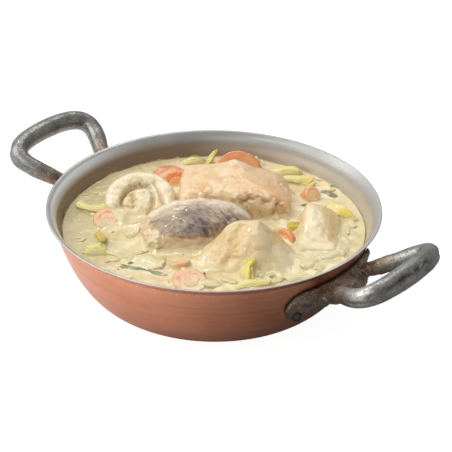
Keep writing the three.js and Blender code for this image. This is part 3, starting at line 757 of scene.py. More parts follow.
# A stroke is (mask, strength, lift, radius, path): it paints a mask and raises the surface. A piece has the
# heights of its corners and the crown between them, or a spine of (share from left to right, height).
fish = {
    "frontFillet": {
        "node": "front_fillet", "slot": "white_fish", "finish": whiteFlesh,
        "at": (22, -43), "turn": 0, "size": (68, 44), "bottom": 20,
        "lean": (4, 9, 10, 3), "corner": 6, "dome": 1.6, "cuts": 66,
        "spine": ((-1, 42), (-0.85, 45), (-0.62, 50), (-0.4, 58), (-0.28, 60.5), (0.1, 61.5), (0.28, 60), (0.56, 52),
                  (0.84, 44), (1, 39)),
        "fall": 1.1, "lumps": ((15, 2, 0.9), (6, 2, 0.3)), "skirt": (0.6, 2.0),
        "strokes": (
            ("pale", 0.35, 0.8, 2.0, ((-8, -30, 44), (1, -29, 50), (10, -29, 57), (16, -28, 60))),
            ("pale", 0.8, 0.9, 2.0, ((-9, -40, 40), (-8, -34, 42))),
            ("brown", 0.6, -1.0, 1.7, ((17, -38, 54), (17.5, -41, 53))),
            ("gold", 0.35, -2.2, 4.5, ((15, -34, 56), (13, -41, 51), (9, -49, 45))),
            ("pale", 0.3, 1.0, 2.4, ((19, -38, 54), (17, -46, 48))),
            ("gold", 0.15, 1.0, 7.0, ((26, -38, 54), (24, -50, 46))),
            (None, 0, -1.0, 5.0, ((36, -34, 52), (33, -48, 45))),
            ("gold", 1.0, 0.5, 2.2, ((2, -31, 48), (7, -29, 53))),
            ("gold", 0.6, 0.3, 4.0, ((17, -34, 55), (22, -37, 54))),
            ("brown", 0.2, 0.4, 5.0, ((12, -30, 54), (8, -38, 51))),
            # painted light on the right slope, which is turned away from the lamps
            ("pale", 0.5, 0, 7.0, ((28, -38, 54), (38, -43, 48), (46, -48, 43))),
            ("brown", 0.5, 0, 9.0, ((0, -38, 46), (18, -37, 56))),
            ("brown", 0.3, -1.4, 3.2, ((3, -41, 46), (10, -39, 51))),
            ("brown", 0.5, -1.2, 2.2, ((-4, -42, 42), (0, -47, 42))),
            ("pale", 0.5, 0.8, 4.0, ((-2, -34, 43), (-4, -40, 41))),
            ("brown", 0.6, -0.8, 3.4, ((-3, -49, 41), (5, -53, 42))),
            ("coat", 1.0, 0.4, 8.0, ((-14, -52, 39), (2, -64, 39), (20, -70, 39), (44, -64, 39), (58, -46, 39))),
            ("coat", 0.8, 0.4, 10.0, ((30, -50, 44), (42, -42, 44))),
        ),
    },
    "skinFillet": {
        "node": "skin_fillet", "slot": "fish_skin", "finish": skin,
        "at": (-11, -13), "turn": 0, "size": (78, 42), "bottom": 22, "tops": (48, 51, 44, 45),
        "lean": (8, 2, 6, 3), "crown": 9, "corner": 4, "dome": 2, "cuts": 74,
        "lumps": ((12, 2, 0.6), (3.5, 3, 0.3)), "skirt": (0.9, 2.2),
        "cover": {"up": (46.6, 48.2), "left": (-58.0, -55.5), "raised": 0.5, "ridges": 0.28, "torn": 0.8},
        "strokes": (
            ("pale", 1.3, 0.7, 5.4, ((-38, -6, 47), (-33, -5, 51), (-22, -3, 57), (-10, -2, 59), (2, -2, 58),
                                     (13, -3, 55), (20, -5, 51))),
            ("pale", 0.5, 0.3, 5.0, ((-40, -9, 47), (-32, -11, 51), (-22, -12, 54))),
            ("blue", 0.9, 0.3, 4.6, ((-30, -17, 49), (-25, -22, 50), (-18, -25, 50), (-11, -26, 51))),
            ("plum", 1.2, -0.3, 6.5, ((-16, -12, 57), (-10, -17, 56), (-5, -23, 53))),
            ("plum", 0.55, 0, 8.0, ((-4, -10, 56), (6, -20, 54))),
            ("dark", 0.95, -0.5, 1.0, ((-38, -12, 47), (-34, -14, 49), (-30, -15, 50), (-27, -21, 50), (-24, -26, 49))),
            ("dark", 0.85, -0.4, 0.9, ((-24, -26, 49), (-20, -27.5, 49), (-14, -26, 51), (-11, -24, 52))),
            ("dark", 0.5, -0.4, 1.0, ((-9, -20, 55), (-5, -25, 52), (-3, -29, 48))),
            ("dark", 0.4, -0.3, 0.7, ((4, -10, 55), (8, -15, 54), (11, -20, 52))),
            ("brown", 1.0, 0, 1.5, ((-10, -29, 48), (2, -28, 48))),
            (None, 0, 2.2, 2.6, ((-43, -18, 44),)),
            (None, 0, 1.6, 1.8, ((-39, -23, 44), (-37, -27, 42))),
            (None, 0, 1.8, 1.6, ((-33, -28, 45), (-32, -31, 42))),
            (None, 0, -1.4, 1.6, ((-36, -25, 44), (-35, -30, 41))),
            ("brown", 0.5, -0.5, 4.0, ((-18, -31, 45), (0, -31, 45))),
            ("coat", 0.9, 0.5, 5.0, ((-52, -20, 39), (-42, -34, 39), (-20, -38, 39), (6, -38, 39))),
            ("coat", 0.8, 0.8, 3.0, ((-34, -24, 46), (-33, -30, 42))),
        ),
    },
    "brownedFillet": {
        "node": "browned_fillet", "slot": "browned_fish", "finish": brownedFlesh,
        "at": (13.5, 27), "turn": 0, "size": (70, 42), "bottom": 22, "tops": (57, 51, 53, 48.5),
        "lean": (0, 5, 6, 0), "crown": 4, "corner": 9, "dome": 2.4, "cuts": 76,
        "lumps": ((14, 2, 0.8), (4.5, 3, 0.16)), "skirt": (0.8, 2.0),
        "pits": {"front": (21, 12), "right": (2, 18), "depth": 1.0, "brown": 0.5},
        "strokes": (
            ("pale", 1.0, 1.2, 1.5, ((-3, 15.5, 56), (-4, 17, 56))),
            ("pale", 0.9, 1.1, 1.4, ((16, 17, 57), (15, 14, 56), (13, 11, 53))),
            ("brown", 0.45, -1.0, 2.6, ((-9, 17, 55), (-11, 13, 54))),
            ("brown", 0.4, -1.0, 2.4, ((-4, 12, 53), (0, 10, 52))),
            ("brown", 0.95, -1.8, 1.7, ((17, 10, 50), (21, 12, 52), (25, 11, 52))),
            ("brown", 0.9, -1.2, 1.5, ((31, 12, 50), (35, 13, 50))),
            ("brown", 1.0, -2.2, 1.6, ((39, 14, 49), (38, 11, 47), (36, 8, 43))),
            ("dark", 0.4, -0.8, 3.0, ((21, 7, 46), (27, 8, 45), (33, 7, 43))),
            ("pale", 0.35, 1.2, 2.2, ((24, 7, 47), (29, 7, 46))),
            ("gold", 1.0, 0.3, 6.0, ((14, 34, 59), (21, 27, 58), (26, 24, 57))),
            ("gold", 1.0, 0.2, 5.0, ((31, 26, 55), (35, 20, 53))),
            ("pale", 0.4, 3.0, 9.0, ((14, 43, 58),)),
            # a painted highlight along an edge running down to the front
            ("pale", 0.35, 0.6, 2.0, ((8, 29, 58), (5, 20, 57), (2, 13, 54))),
            ("gold", 0.5, -0.9, 1.2, ((42, 24, 48), (43, 14, 44))),
            ("gold", 0.5, -0.9, 1.2, ((40, 34, 51), (45, 22, 44))),
            ("coat", 0.7, 0.3, 3.0, ((-24, 6, 39), (0, 2, 39), (30, 2, 39), (50, 10, 39))),
        ),
    },
    "sideFillet": {
        "node": "side_fillet", "slot": "white_fish", "finish": whiteFlesh,
        "at": (61.5, -10), "turn": -6, "size": (26, 44), "bottom": 24,
        "lean": (3, 1, 4, 1), "corner": 8, "dome": 2, "cuts": 52,
        "spine": ((-1, 47), (-0.75, 51), (-0.4, 51.5), (0.2, 50), (0.65, 47.5), (1, 43)), "fall": 0.95,
        "lumps": ((9, 2, 0.4), (3.5, 3, 0.1)), "flakes": (62, 5.5, 0.08), "skirt": (1.6, 3.5),
        "strokes": (
            # painted light on the face turned to the lamps
            ("pale", 0.75, 0.3, 8.0, ((57, 4, 51), (59, -6, 48), (57, -16, 45))),
            # painted shade on the right face, turned away from the lamps
            ("brown", 0.55, -0.4, 3.4, ((73, 2, 46), (72, -8, 44), (70, -20, 42))),
            ("brown", 0.3, -0.7, 1.2, ((67, -13, 46), (64, -22, 44))),
            ("pale", 0.3, 0.8, 3.0, ((54, -6, 51),)),
            ("coat", 1.0, 0.8, 7.0, ((46, 2, 40), (47, -16, 40), (50, -32, 40), (62, -34, 39))),
        ),
    },
}


def fishShape(cut):
    bm, unit = roundedBlock(cut["cuts"], cut["corner"])
    rise, toRight, toBack = (unit[:, 2] + 1) / 2, (unit[:, 0] + 1) / 2, (unit[:, 1] + 1) / 2
    left, right, front, back = cut["lean"]
    if "tops" in cut:
        # the top lies between the heights of its four corners
        backLeft, backRight, frontLeft, frontRight = cut["tops"]
        edge = lerp(lerp(frontLeft, frontRight, toRight), lerp(backLeft, backRight, toRight), toBack)
        top = edge + cut["crown"] * (1 - unit[:, 0] ** 2)
    else:
        # the top follows a line of heights from left to right, and falls away to the front
        shares, heights = zip(*cut["spine"])
        spine = sum(np.interp(unit[:, 0] + step, shares, heights) for step in (-0.1, -0.05, 0, 0.05, 0.1)) / 5
        drop = 1 - cut["fall"] * (1 - toBack) ** 1.3
        top = sauceLevel + (spine - sauceLevel) * drop
    inward = rise ** cut["dome"]
    x = unit[:, 0] * (cut["size"][0] / 2 - np.where(unit[:, 0] < 0, left, right) * inward)
    y = unit[:, 1] * (cut["size"][1] / 2 - np.where(unit[:, 1] < 0, front, back) * inward)
    points = np.c_[x, y, lerp(cut["bottom"], top, rise)]
    return bm, turnedPoints(points, (*cut["at"], 0), (0, 0, cut["turn"]))


def splitFlakes(flakes, points, masks, seed):
    # shallow grooves between the flakes
    turn, spacing, depth = flakes
    across = points[:, 0] * math.cos(math.radians(turn)) + points[:, 1] * math.sin(math.radians(turn))
    layer = (across + 0.5 * points[:, 2]) / spacing + 0.55 * cloud(points, 14, 3, seed + 5)
    groove = np.exp(-(((layer % 1 - 0.5) / 0.1) ** 2)) * ease(-0.2, 0.3, cloud(points, 12, 2, seed + 6))
    masks["gold"] += 0.2 * groove
    return -depth * groove


def pitFront(pits, points, masks, seed):
    # the lower front is pitted and browned
    front = ease(*pits["front"], points[:, 1]) * ease(*pits["right"], points[:, 0] + 0.6 * (52 - points[:, 2]))
    torn = cloud(points * (1, 1, 0.55) + 0.4 * points[:, ::-1], 4.6, 3, seed + 4)
    pitted = front * ease(0.0, 0.35, torn)
    masks["brown"] = pits["brown"] * pitted * ease(-4, 18, points[:, 0] - points[:, 2] + 50)
    return 0.15 * front * cloud(points, 1.8, 2, seed + 3) - pits["depth"] * pitted


def coverWithSkin(cover, points, masks, seed):
    # the skin ends in a raised edge along the front and the left
    wander = 1.3 * cloud(points, 4, 3, seed + 7)
    masks["skin"] = (ease(*cover["up"], points[:, 2] + wander)
                     * ease(*cover["left"], points[:, 0] + points[:, 1] + 1.5 * wander))
    # its streaks lie level at the left and bend down to the right
    bent = 4 * np.logaddexp(0, (points[:, 0] + 8) / 4)
    down = 0.63 * points[:, 1] + 0.78 * bent
    masks["flow"] = np.c_[points[:, 0], down, 0.3 * points[:, 2]]
    masks["lined"] = lerp(0.4, 1.0, ease(-22, -6, points[:, 0]))
    torn = (1 - masks["skin"]) * ease(-26, -36, points[:, 0]) * cloud(points, 3.2, 3, seed + 2)
    ridges = cloud(np.c_[points[:, 0] / 3, down, points[:, 2] / 3], 1.5, 3, seed + 8)
    return cover["torn"] * torn + masks["skin"] * (cover["raised"] + cover["ridges"] * ridges * masks["lined"])


def makeFish(name, cut, seed):
    bm, points = fishShape(cut)
    setPoints(bm, points)
    normals = getNormals(bm)
    masks = {mask: np.zeros(len(points)) for mask in ("brown", "gold", "pale", "dark", "blue", "plum", "coat")}
    lift = sauceSkirt(points, *cut["skirt"], seed)
    for size, octaves, height in cut["lumps"]:
        lift += height * cloud(points, size, octaves, seed)
    for special, shaped in (("flakes", splitFlakes), ("pits", pitFront), ("cover", coverWithSkin)):
        if special in cut:
            lift += shaped(cut[special], points, masks, seed)
    for mask, strength, raised, radius, path in cut["strokes"]:
        near = nearStroke(points, path, radius)
        near *= 0.75 + 0.5 * cloud(points, radius * 1.2, 2, seed + 9)
        lift += raised * near
        if mask:
            masks[mask] = np.maximum(masks[mask], strength * near)
    setPoints(bm, points + normals * lift[:, None])
    masks = {mask: values if values.ndim == 2 else np.clip(values, 0, 1) for mask, values in masks.items()}
    masks["local"] = points
    return finishPiece(name, bm, [cut["finish"]], [cut["node"]], masks)


fishPieces = [makeFish(name, cut, seed) for seed, (name, cut) in enumerate(fish.items(), 20)]
print("fish ready")

roll = {
    "at": (-45, 22, 38), "turn": (23, 0, 0), "radius": 21.0, "half": 11.0, "edge": 4.5,
    # grooves between the turns, as x, y, depth and width
    "turns": (
        ((-9.5, -9.5, 0.8, 0.9), (-11.5, -5.4, 3.0, 0.9), (-11.1, -0.7, 3.8, 1.0), (-8.3, 4.0, 3.0, 1.2),
         (-5.4, 7.2, 2.4, 1.9), (-0.5, 8.7, 2.0, 2.2), (4.3, 8.0, 1.8, 1.9), (7.0, 4.4, 1.0, 1.2),
         (7.9, 0.5, 1.6, 1.1), (7.6, -7.3, 1.7, 1.1), (5.8, -13.4, 1.2, 1.2), (4.8, -17.5, 0.6, 1.2)),
        ((8.5, 10.0, 0.5, 1.2), (10.9, 6.0, 0.9, 1.3), (13.2, -0.2, 1.2, 1.2), (15.2, -7.9, 1.4, 1.2),
         (15.5, -12.5, 1.0, 1.3)),
        ((-7.0, 1.2, 0.5, 1.4), (-4.5, 0.6, 1.2, 1.6), (-3.2, -2.0, 1.3, 1.5), (-4.2, -5.0, 1.0, 1.4)),
        ((-12.5, -8.8, 0.6, 1.2), (-8.0, -8.2, 0.9, 1.2), (-4.0, -9.4, 0.9, 1.3), (-2.6, -7.2, 0.5, 1.2)),
    ),
}


def grooves(flat, paths, seed):
    # depth of the nearest groove at each point, and how far off it is
    dip, nearest = np.zeros(len(flat)), np.full(len(flat), 9.0)
    wander = 0.5 * cloud(np.c_[flat, np.zeros(len(flat))], 4, 3, seed)
    for path in paths:
        path = np.array(path)
        for start, end in zip(path[:-1], path[1:]):
            along = end[:2] - start[:2]
            share = np.clip((flat - start[:2]) @ along / (along @ along), 0, 1)
            gap = np.linalg.norm(flat - start[:2] - share[:, None] * along, axis=1)
            depth, width = lerp(start[2], end[2], share), lerp(start[3], end[3], share)
            dip = np.maximum(dip, depth * np.exp(-(((gap + wander) / width) ** 2)))
            nearest = np.minimum(nearest, gap)
    return dip, nearest


def topAndEdge(radius, half, edge, rows, step):
    # profile of a round slice's flat top and rounded edge
    top = [(distance, half) for distance in np.linspace(0, radius - edge, rows)]
    return top + [(radius - edge + edge * math.sin(angle), half - edge + edge * math.cos(angle))
                  for angle in np.radians(range(step, 91, step))]


def makeRoll():
    radius, half, edge = roll["radius"], roll["half"], roll["edge"]
    side = [(radius, up) for up in np.linspace(half - edge - 1, -half + 1, 14)]
    bm = spunShape([*topAndEdge(radius, half, edge, 60, 8), *side, (radius - 1, -half), (0, -half)], 200)
    points = getPoints(bm)
    normals = getNormals(bm)
    upper = ease(half - edge, half - 1.0, points[:, 2])
    flat = points[:, :2]
    dip, nearest = grooves(flat, roll["turns"], 30)
    # the turns stand up round, except low at the front where sauce lies over them
    x, y = points[:, 0], points[:, 1]
    drowned = ease(-6, -18, y + 0.25 * x) * ease(10, 1, x) * ease(-26, -12, x)
    bare = upper * (1 - drowned)
    lift = bare * (1.2 * np.sqrt(ease(0, 4, nearest)) - dip) - 0.2 * upper * drowned
    lift += 0.5 * cloud(points, 8, 2, 31) + 0.14 * cloud(points, 2.4, 2, 32)
    # the sides are drawn into soft upright folds
    lift -= (1 - upper) * 0.6 * ease(0.1, 0.5, cloud(np.c_[flat, points[:, 2] / 8], 3.2, 2, 33))
    placed = turnedPoints(points + normals * lift[:, None], roll["at"], roll["turn"])
    outward = turnedPoints(normals, (0, 0, 0), roll["turn"])
    placed += outward * sauceSkirt(placed, 2.6, 3.5, 3)[:, None]
    setPoints(bm, placed)
    torn = ease(0.05, 0.45, cloud(points, 1.1, 2, 34))
    belt = bare * nearStroke(points * (1, 1, 0), [(-6, 9, 0), (-0.5, 10, 0), (5, 8.5, 0)], 2.6)
    specks = bare * nearStroke(points * (1, 1, 0), [(-12.5, -9, 0), (-8, -8.4, 0), (-4, -9.4, 0)], 1.7)
    swirl = bare * nearStroke(points * (1, 1, 0), [(-7, 1, 0), (-4, 0, 0), (-3, -3, 0)], 2.4)
    masks = {
        # painted shade: the grooves between the turns are browner the deeper they are
        "brown": np.clip(0.34 * bare * dip, 0, 1),
        "gold": np.clip(0.75 * swirl + 0.4 * belt, 0, 1),
        "dark": np.clip(torn * (0.7 * belt + 0.8 * specks), 0, 1),
        "pale": np.clip(0.4 * bare * ease(13.5, 17, np.hypot(*flat.T)), 0, 1),
        "coat": np.clip(drowned + 0.25 * (1 - upper), 0, 1),
        "local": points,
    }
    return finishPiece("rolledFillet", bm, [rollFlesh], ["rolled_fillet"], masks)


fishPieces.append(makeRoll())
print("roll ready")


# name: node, finish, slot, place, turn, radius, thickness
carrots = {
    "backCarrot": ("carrot_back", orangeCarrot, "carrot", (14, 71, 36), (55, 0, 0), 16, 6),
    "backLeftCarrot": ("carrot_back_left", rosyCarrot, "carrot", (-29, 57, 38), (25, 0, 0), 12, 6),
    "carrotBehindRoll": ("carrot_behind_roll", orangeCarrot, "carrot", (-24, 50, 39), (40, 10, 0), 9, 6),
    "rightCarrot": ("carrot_right", peachCarrot, "carrot", (59, 37.5, 40.5), (48, 0, 35), 5.4, 8),
    "leftCarrot": ("carrot_left", paleCarrot, "pale_carrot", (-63, 2.5, 38.6), (20, 6, 0), 9.6, 6),
    "thinFrontCarrot": ("carrot_front_thin", paleCarrot, "carrot", (-19, -46, 38.6), (-24, 0, 20), 6.2, 4),
    "frontCarrot": ("carrot_front", paleCarrot, "pale_carrot", (-13, -67, 38.9), (10, 12, -24), 10, 6),
    "carrotBesideFront": ("carrot_beside_front", orangeCarrot, "carrot", (41.5, -16, 37), (62, 0, -44), 9, 4),
}


def makeCarrot(name, spec, seed):
    node, finish, slot, at, turn, radius, thick = spec
    half = thick / 2
    upper = topAndEdge(radius, half, min(1.3, half * 0.7), 14, 15)
    bm = spunShape(upper + [(out, -up) for out, up in upper[::-1]], 72)
    local = getPoints(bm)
    away = np.hypot(local[:, 0], local[:, 1])
    normals = getNormals(bm)
    # the heart stands a little lower than the flesh round it
    lift = 0.35 * cloud(local, 6, 2, seed) + 0.12 * cloud(local, 1.6, 2, seed + 1)
    lift -= 0.35 * np.exp(-(((away / radius - 0.56) / 0.06) ** 2))
    stretch = 1 + 0.05 * cloud(local * (1, 1, 0), radius, 2, seed + 2)
    points = (local + normals * lift[:, None]) * np.c_[stretch, stretch, np.ones(len(local))]
    setPoints(bm, turnedPoints(points, at, turn))
    return finishPiece(name, bm, [finish], [node], {"ring": away / radius, "local": local})


# name: node, finish, place, turn, size of the leaf, then how it is bent and how deep its colour is
leeks = {
    "crescentLeek": ("leek_crescent", yellowLeek, (-73, 16.5, 40.4), (-10, 0, 178), (26, 7.5, 3),
        {"bend": 85, "edge": 0}),
    "podLeek": ("leek_pod", oliveLeek, (-66, -20.5, 41.2), (0, 0, -64), (15, 5.6, 4),
        {"narrow": 0.3, "point": -0.35, "end": 1}),
    "leftFoldLeek": ("leek_fold_left", yellowLeek, (-68, -34, 42), (18, 4, -20), (16, 13, 3),
        {"arch": 70, "fold": 0.3, "edge": 0.6, "point": 0.3}),
    "slabLeek": ("leek_slab", paleLeek, (-37, -46.5, 40), (4, 0, -13), (22, 14, 4), {"narrow": 0.2, "end": 0.1}),
    "frontLeftLeek": ("leek_front_left", paleLeek, (-11, -55, 40.3), (0, 0, -25), (16, 6, 3),
        {"bend": 40, "fold": 0.5}),
    "chunkLeek": ("leek_chunk", paleLeek, (0, -67, 39.6), (0, 14, 10), (13, 12, 4),
        {"narrow": 0.2, "arch": 40, "end": 0}),
    "frontFoldLeek": ("leek_fold_front", yellowLeek, (18.5, -58, 43), (-38, -30, 80), (20, 11, 2.6),
        {"arch": 60, "edge": 1, "end": 1}),
    "frontStripLeek": ("leek_strip_front", yellowLeek, (22, -68, 40.2), (10, 0, 10), (22, 6, 3),
        {"bend": 25, "edge": 0.1, "end": 0.2}),
    "paleRightLeek": ("leek_pale_right", paleLeek, (49, -61, 40), (0, 0, 20), (17, 8, 3), {"bend": 30, "edge": 0.5}),
    "backCurlLeek": ("leek_curl_back", yellowLeek, (-13, 80, 41.2), (35, 0, 14), (24, 6, 3),
        {"arch": 110, "edge": 0.5}),
    "backSpikeLeek": ("leek_spike_back", yellowLeek, (-4, 79, 42.5), (0, -72, 14), (17, 5.4, 3),
        {"narrow": 0.4, "point": 0.7, "arch": 60}),
    "behindLeek": ("leek_behind", paleLeek, (23, 76, 42.5), (45, 0, 0), (11, 12, 4), {"narrow": 0.2, "arch": 50}),
    "backBunchLeek": ("leek_bunch_back", yellowLeek, (43, 69, 41.6), (18, -4, -6), (26, 9, 3),
        {"arch": 40, "fold": 0.3, "edge": 0.3}),
    "backStripLeek": ("leek_strip_back", yellowLeek, (52, 57, 41.4), (14, 0, -12), (23, 8, 3), {"bend": 24, "end": 1}),
    "rightYellowLeek": ("leek_yellow_right", yellowLeek, (77, 15, 42.2), (22, 8, -42), (24, 8, 3),
        {"arch": 50, "point": 0.55, "glow": 1}),
    "middleLeek": ("leek_middle", paleLeek, (-27, 30, 39.5), (0, 0, 70), (15, 8, 5), {"narrow": 0.2, "edge": 0.8}),
    "lowRightLeek": ("leek_low_right", paleLeek, (69, -34, 39.6), (0, 0, 30), (16, 9, 4), {"bend": 60, "edge": 0.5}),
    "rightBudLeek": ("leek_bud_right", oliveLeek, (48, -3, 40.8), (40, 0, 20), (8, 9, 5), {"narrow": 0.4, "end": 1}),
}
# name: node, place, turn, radius, wall, height
rings = {
    "frontRingLeek": ("leek_ring_front", (35, -62, 38.9), (5, 0, 0), 5.2, 2.8, 5.4),
    "rightArcLeek": ("leek_arc_right", (72, -19, 37.6), (6, 4, 0), 8.5, 3, 5),
}


def stripPoints(unit, size, shape, seed):
    length, width, thick = size
    local = unit * (length / 2, width / 2, thick / 2)
    share, across = unit[:, 0], unit[:, 1]
    spine = np.c_[share, np.full(len(share), 0.1 * seed), np.zeros(len(share))]
    # ragged ends, a wavy outline, a folded back and fine ribs
    local[:, 0] += 0.9 * np.abs(share) ** 3 * cloud(local * (0, 1, 1), 1.8, 2, seed)
    local[:, 1] *= 1 - shape.get("narrow", 0.15) * share**2 + 0.25 * cloud(spine, 0.7, 2, seed)
    local[:, 1] *= 1 - shape.get("point", 0) * ease(-0.2, 1.05, share)
    local[:, 1] += 0.16 * width * cloud(spine, 1.3, 1, seed + 3)
    local[:, 2] += 0.16 * width * across * cloud(spine, 1.1, 2, seed + 4)
    local[:, 2] -= 0.13 * width * across**2 + shape.get("fold", 0) * width / 2 * np.sqrt(across**2 + 0.02)
    local[:, 2] += 0.12 * np.sin(across * width * 2.4 + 0.8 * share) + 0.3 * cloud(local, 3, 2, seed + 1)
    points = local.copy()
    bend, arch = shape.get("bend", 0), shape.get("arch", 0)
    if bend or arch:
        sweep = math.radians(bend or arch)
        radius = length / sweep
        angle = local[:, 0] / length * sweep
        side = 1 if bend else 2
        reach = radius + local[:, side]
        points[:, 0] = reach * np.sin(angle)
        points[:, side] = reach * np.cos(angle) - radius
    return local, points


def leafTip(unit, shape):
    # how deep the colour is at the tip, at the edges or over most of the leaf
    tip = shape.get("end", 0.5) * ease(0.1, 0.9, unit[:, 0])
    tip = np.maximum(tip, shape.get("edge", 0) * ease(0.45, 0.95, np.abs(unit[:, 1])))
    return np.maximum(tip, shape.get("glow", 0) * ease(-0.35, 0.2, unit[:, 0]))


def makeLeek(name, spec, seed):
    node, finish, at, turn, size, shape = spec
    rng = random.Random(seed)
    bm = bmesh.new()
    block, unit = roundedBlock(16, 5)
    layers = max(2, round(size[2] / 1.6))
    flats, tips = [], []
    for layer in range(layers):
        # leaves of the leek lie on each other, each a little out of line
        leaf = dict(shape)
        for curve in ("bend", "arch"):
            if leaf.get(curve):
                leaf[curve] *= rng.uniform(0.94, 1.08)
        length, width = size[0] * rng.uniform(0.82, 1.0), size[1] * rng.uniform(0.82, 1.0)
        local, points = stripPoints(unit, (length, width, 1.3), leaf, seed + 7 * layer)
        slip = (rng.uniform(-0.04, 0.04) * size[0], rng.uniform(-0.06, 0.06) * size[1],
                (layer - (layers - 1) / 2) * size[2] / layers)
        points = turnedPoints(points, slip, [rng.uniform(-6, 6) for _ in range(3)])
        addCopy(bm, block, turnedPoints(points, at, turn))
        flats.append(local + (9 * layer, 0, 0))
        tips.append(leafTip(unit, shape))
    block.free()
    return finishPiece(name, bm, [finish], [node],
                       {"local": np.concatenate(flats), "tip": np.concatenate(tips)})


def makeRing(name, spec, seed):
    node, at, turn, radius, wall, tall = spec
    half = tall / 2
    # two or three leaves, one inside the other
    profile = []
    for share in np.linspace(0, 1, 19):
        dip = 0.5 * abs(math.sin(share * 3 * math.pi)) ** 0.5
        profile.append((radius - wall * share, half - 0.5 + dip))
    bm = spunShape([(radius, -half), *profile, (radius - wall, -half)], 64, closed=True)
    local = getPoints(bm)
    squeeze = 1 + 0.08 * cloud(local * (1, 1, 0), radius * 1.3, 2, seed)
    points = local * np.c_[squeeze, squeeze, np.ones(len(local))]
    points += getNormals(bm) * 0.15 * cloud(local, 2, 2, seed + 1)[:, None]
    setPoints(bm, turnedPoints(points, at, turn))
    away = np.hypot(local[:, 0], local[:, 1])
    masks = {"local": np.c_[local[:, 2], away, local[:, 0] * 0.1], "tip": ease(radius - 0.9, radius, away) * 0.5}
    return finishPiece(name, bm, [paleLeek], [node], masks)


lowPieces = [makeCarrot(name, spec, seed) for seed, (name, spec) in enumerate(carrots.items(), 50)]
lowPieces += [makeLeek(name, spec, seed) for seed, (name, spec) in enumerate(leeks.items(), 70)]
lowPieces += [makeRing(name, spec, seed) for seed, (name, spec) in enumerate(rings.items(), 95)]

# kind: finish, slot, then a row for each shred with its place, turn, length, width and bend
shredSets = {
    "greenShreds": (greenLeek, "green_leek", (
        (-45, -38.5, 70, 6, 5.5, 0), (-41, -34, 35, 9, 2.6, 30), (-53, -41, 20, 7, 2.6, 40), (52, -37, -40, 7, 3.4, 50),
        (28, -56, 60, 7, 4.4, 30), (39, -60, 10, 6, 4.0, 40), (29, -67, 10, 12, 4, 20),
    )),
    "oliveShreds": (oliveLeek, "green_leek", (
        (-29, -41, 60, 6, 4.5, 0), (-80, 36, 20, 5, 1.6, 40), (65, 24, -50, 5, 3.2, 40), (59, 50, 0, 8, 3.6, 40),
    )),
    "darkShreds": (darkLeek, "green_leek", (
        (-41.5, -53.5, -18, 14, 3.6, 14), (-31.5, -57, -26, 12, 3.4, -14), (-49.5, -50.5, -12, 7, 4.4, 0),
        (-44, -45.5, 20, 11, 2.6, 20), (71, 43, -30, 11, 5.0, 60), (56, 27, 20, 6, 4.0, 60), (75, 52, -20, 6, 3.0, 40),
    )),
    "yellowShreds": (yellowLeek, "yellow_leek", (
        (-18, 36, 70, 8, 3.4, 20), (-28, 28, 80, 9, 2.8, 30), (-57, -36, -18, 17, 4.2, 30), (72, 47, 25, 7, 2.2, 40),
        (30, 84, -60, 7, 2.4, 30), (28, -73, 12, 15, 3.2, 20), (-1, 80, 20, 9, 3.0, 60), (64, 62, -25, 9, 3.0, 40),
    )),
    "paleShreds": (paleLeek, "leek", (
        (-80, -18, 10, 10, 1.8, 140), (-79, -22, 190, 10, 1.8, 140), (-45, 45, 30, 8, 2.4, 40),
        (36, -5, 40, 7, 2.2, 60), (60, 47, -30, 9, 2.8, 60), (80, -2, 80, 12, 3.0, 50),
        (-58, -44, 20, 9, 2.4, 30), (40, -67, 15, 9, 3.0, 40),
        (58, -38, 52, 24, 10.0, 20), (66, -43, 45, 20, 8.0, 20), (83, 6, 100, 12, 5.0, 40), (10, -64, -20, 10, 5.0, 40),
        (-20, -70, -20, 9, 6.0, 40), (-60, 24, 80, 12, 5.0, 50), (47, -66, 15, 12, 6.0, 30), (76, -28, 60, 14, 6.0, 30),
    )),
}


def makeShreds(name, finish, slot, rows, seed):
    bm = bmesh.new()
    block, unit = roundedBlock(11, 5)
    flats = []
    for offset, (x, y, turn, length, width, bend) in enumerate(rows):
        shape = {"bend": bend, "narrow": 0.35}
        local, points = stripPoints(unit, (length, width, 1.3), shape, seed + offset)
        addCopy(bm, block, turnedPoints(points, (x, y, sauceLevel + 0.6), (8 - offset % 3 * 8, 3, turn)))
        flats.append(local)
    block.free()
    local = np.concatenate(flats)
    return finishPiece(name, bm, [finish], (), {"local": local, "tip": ease(-1, 4, local[:, 0]) * 0.8})


lowPieces += [makeShreds(name, *spec, seed) for seed, (name, spec) in enumerate(shredSets.items(), 120)]
print("vegetables ready")


sauce = {
    "rows": 280, "depth": 9,
    # size, octaves and height of its waves and ripples
    "waves": ((24, 2, 0.7), (6.5, 3, 0.7)),
    # it creeps up low pieces and the wall: how high, and over what distance
    "hem": (0.35, 1.6), "wallHem": (0.6, 1.4),
    # over low pieces it lies this deep at most, and it follows them no higher than this
    "cover": 0.7, "over": 3.0, "soft": 0.45,
    # it banks up against the fish: how high, after how many rounds of smoothing, and how much of that stays
    "bank": 4.6, "bankWide": 60, "bankShare": 0.75,
}


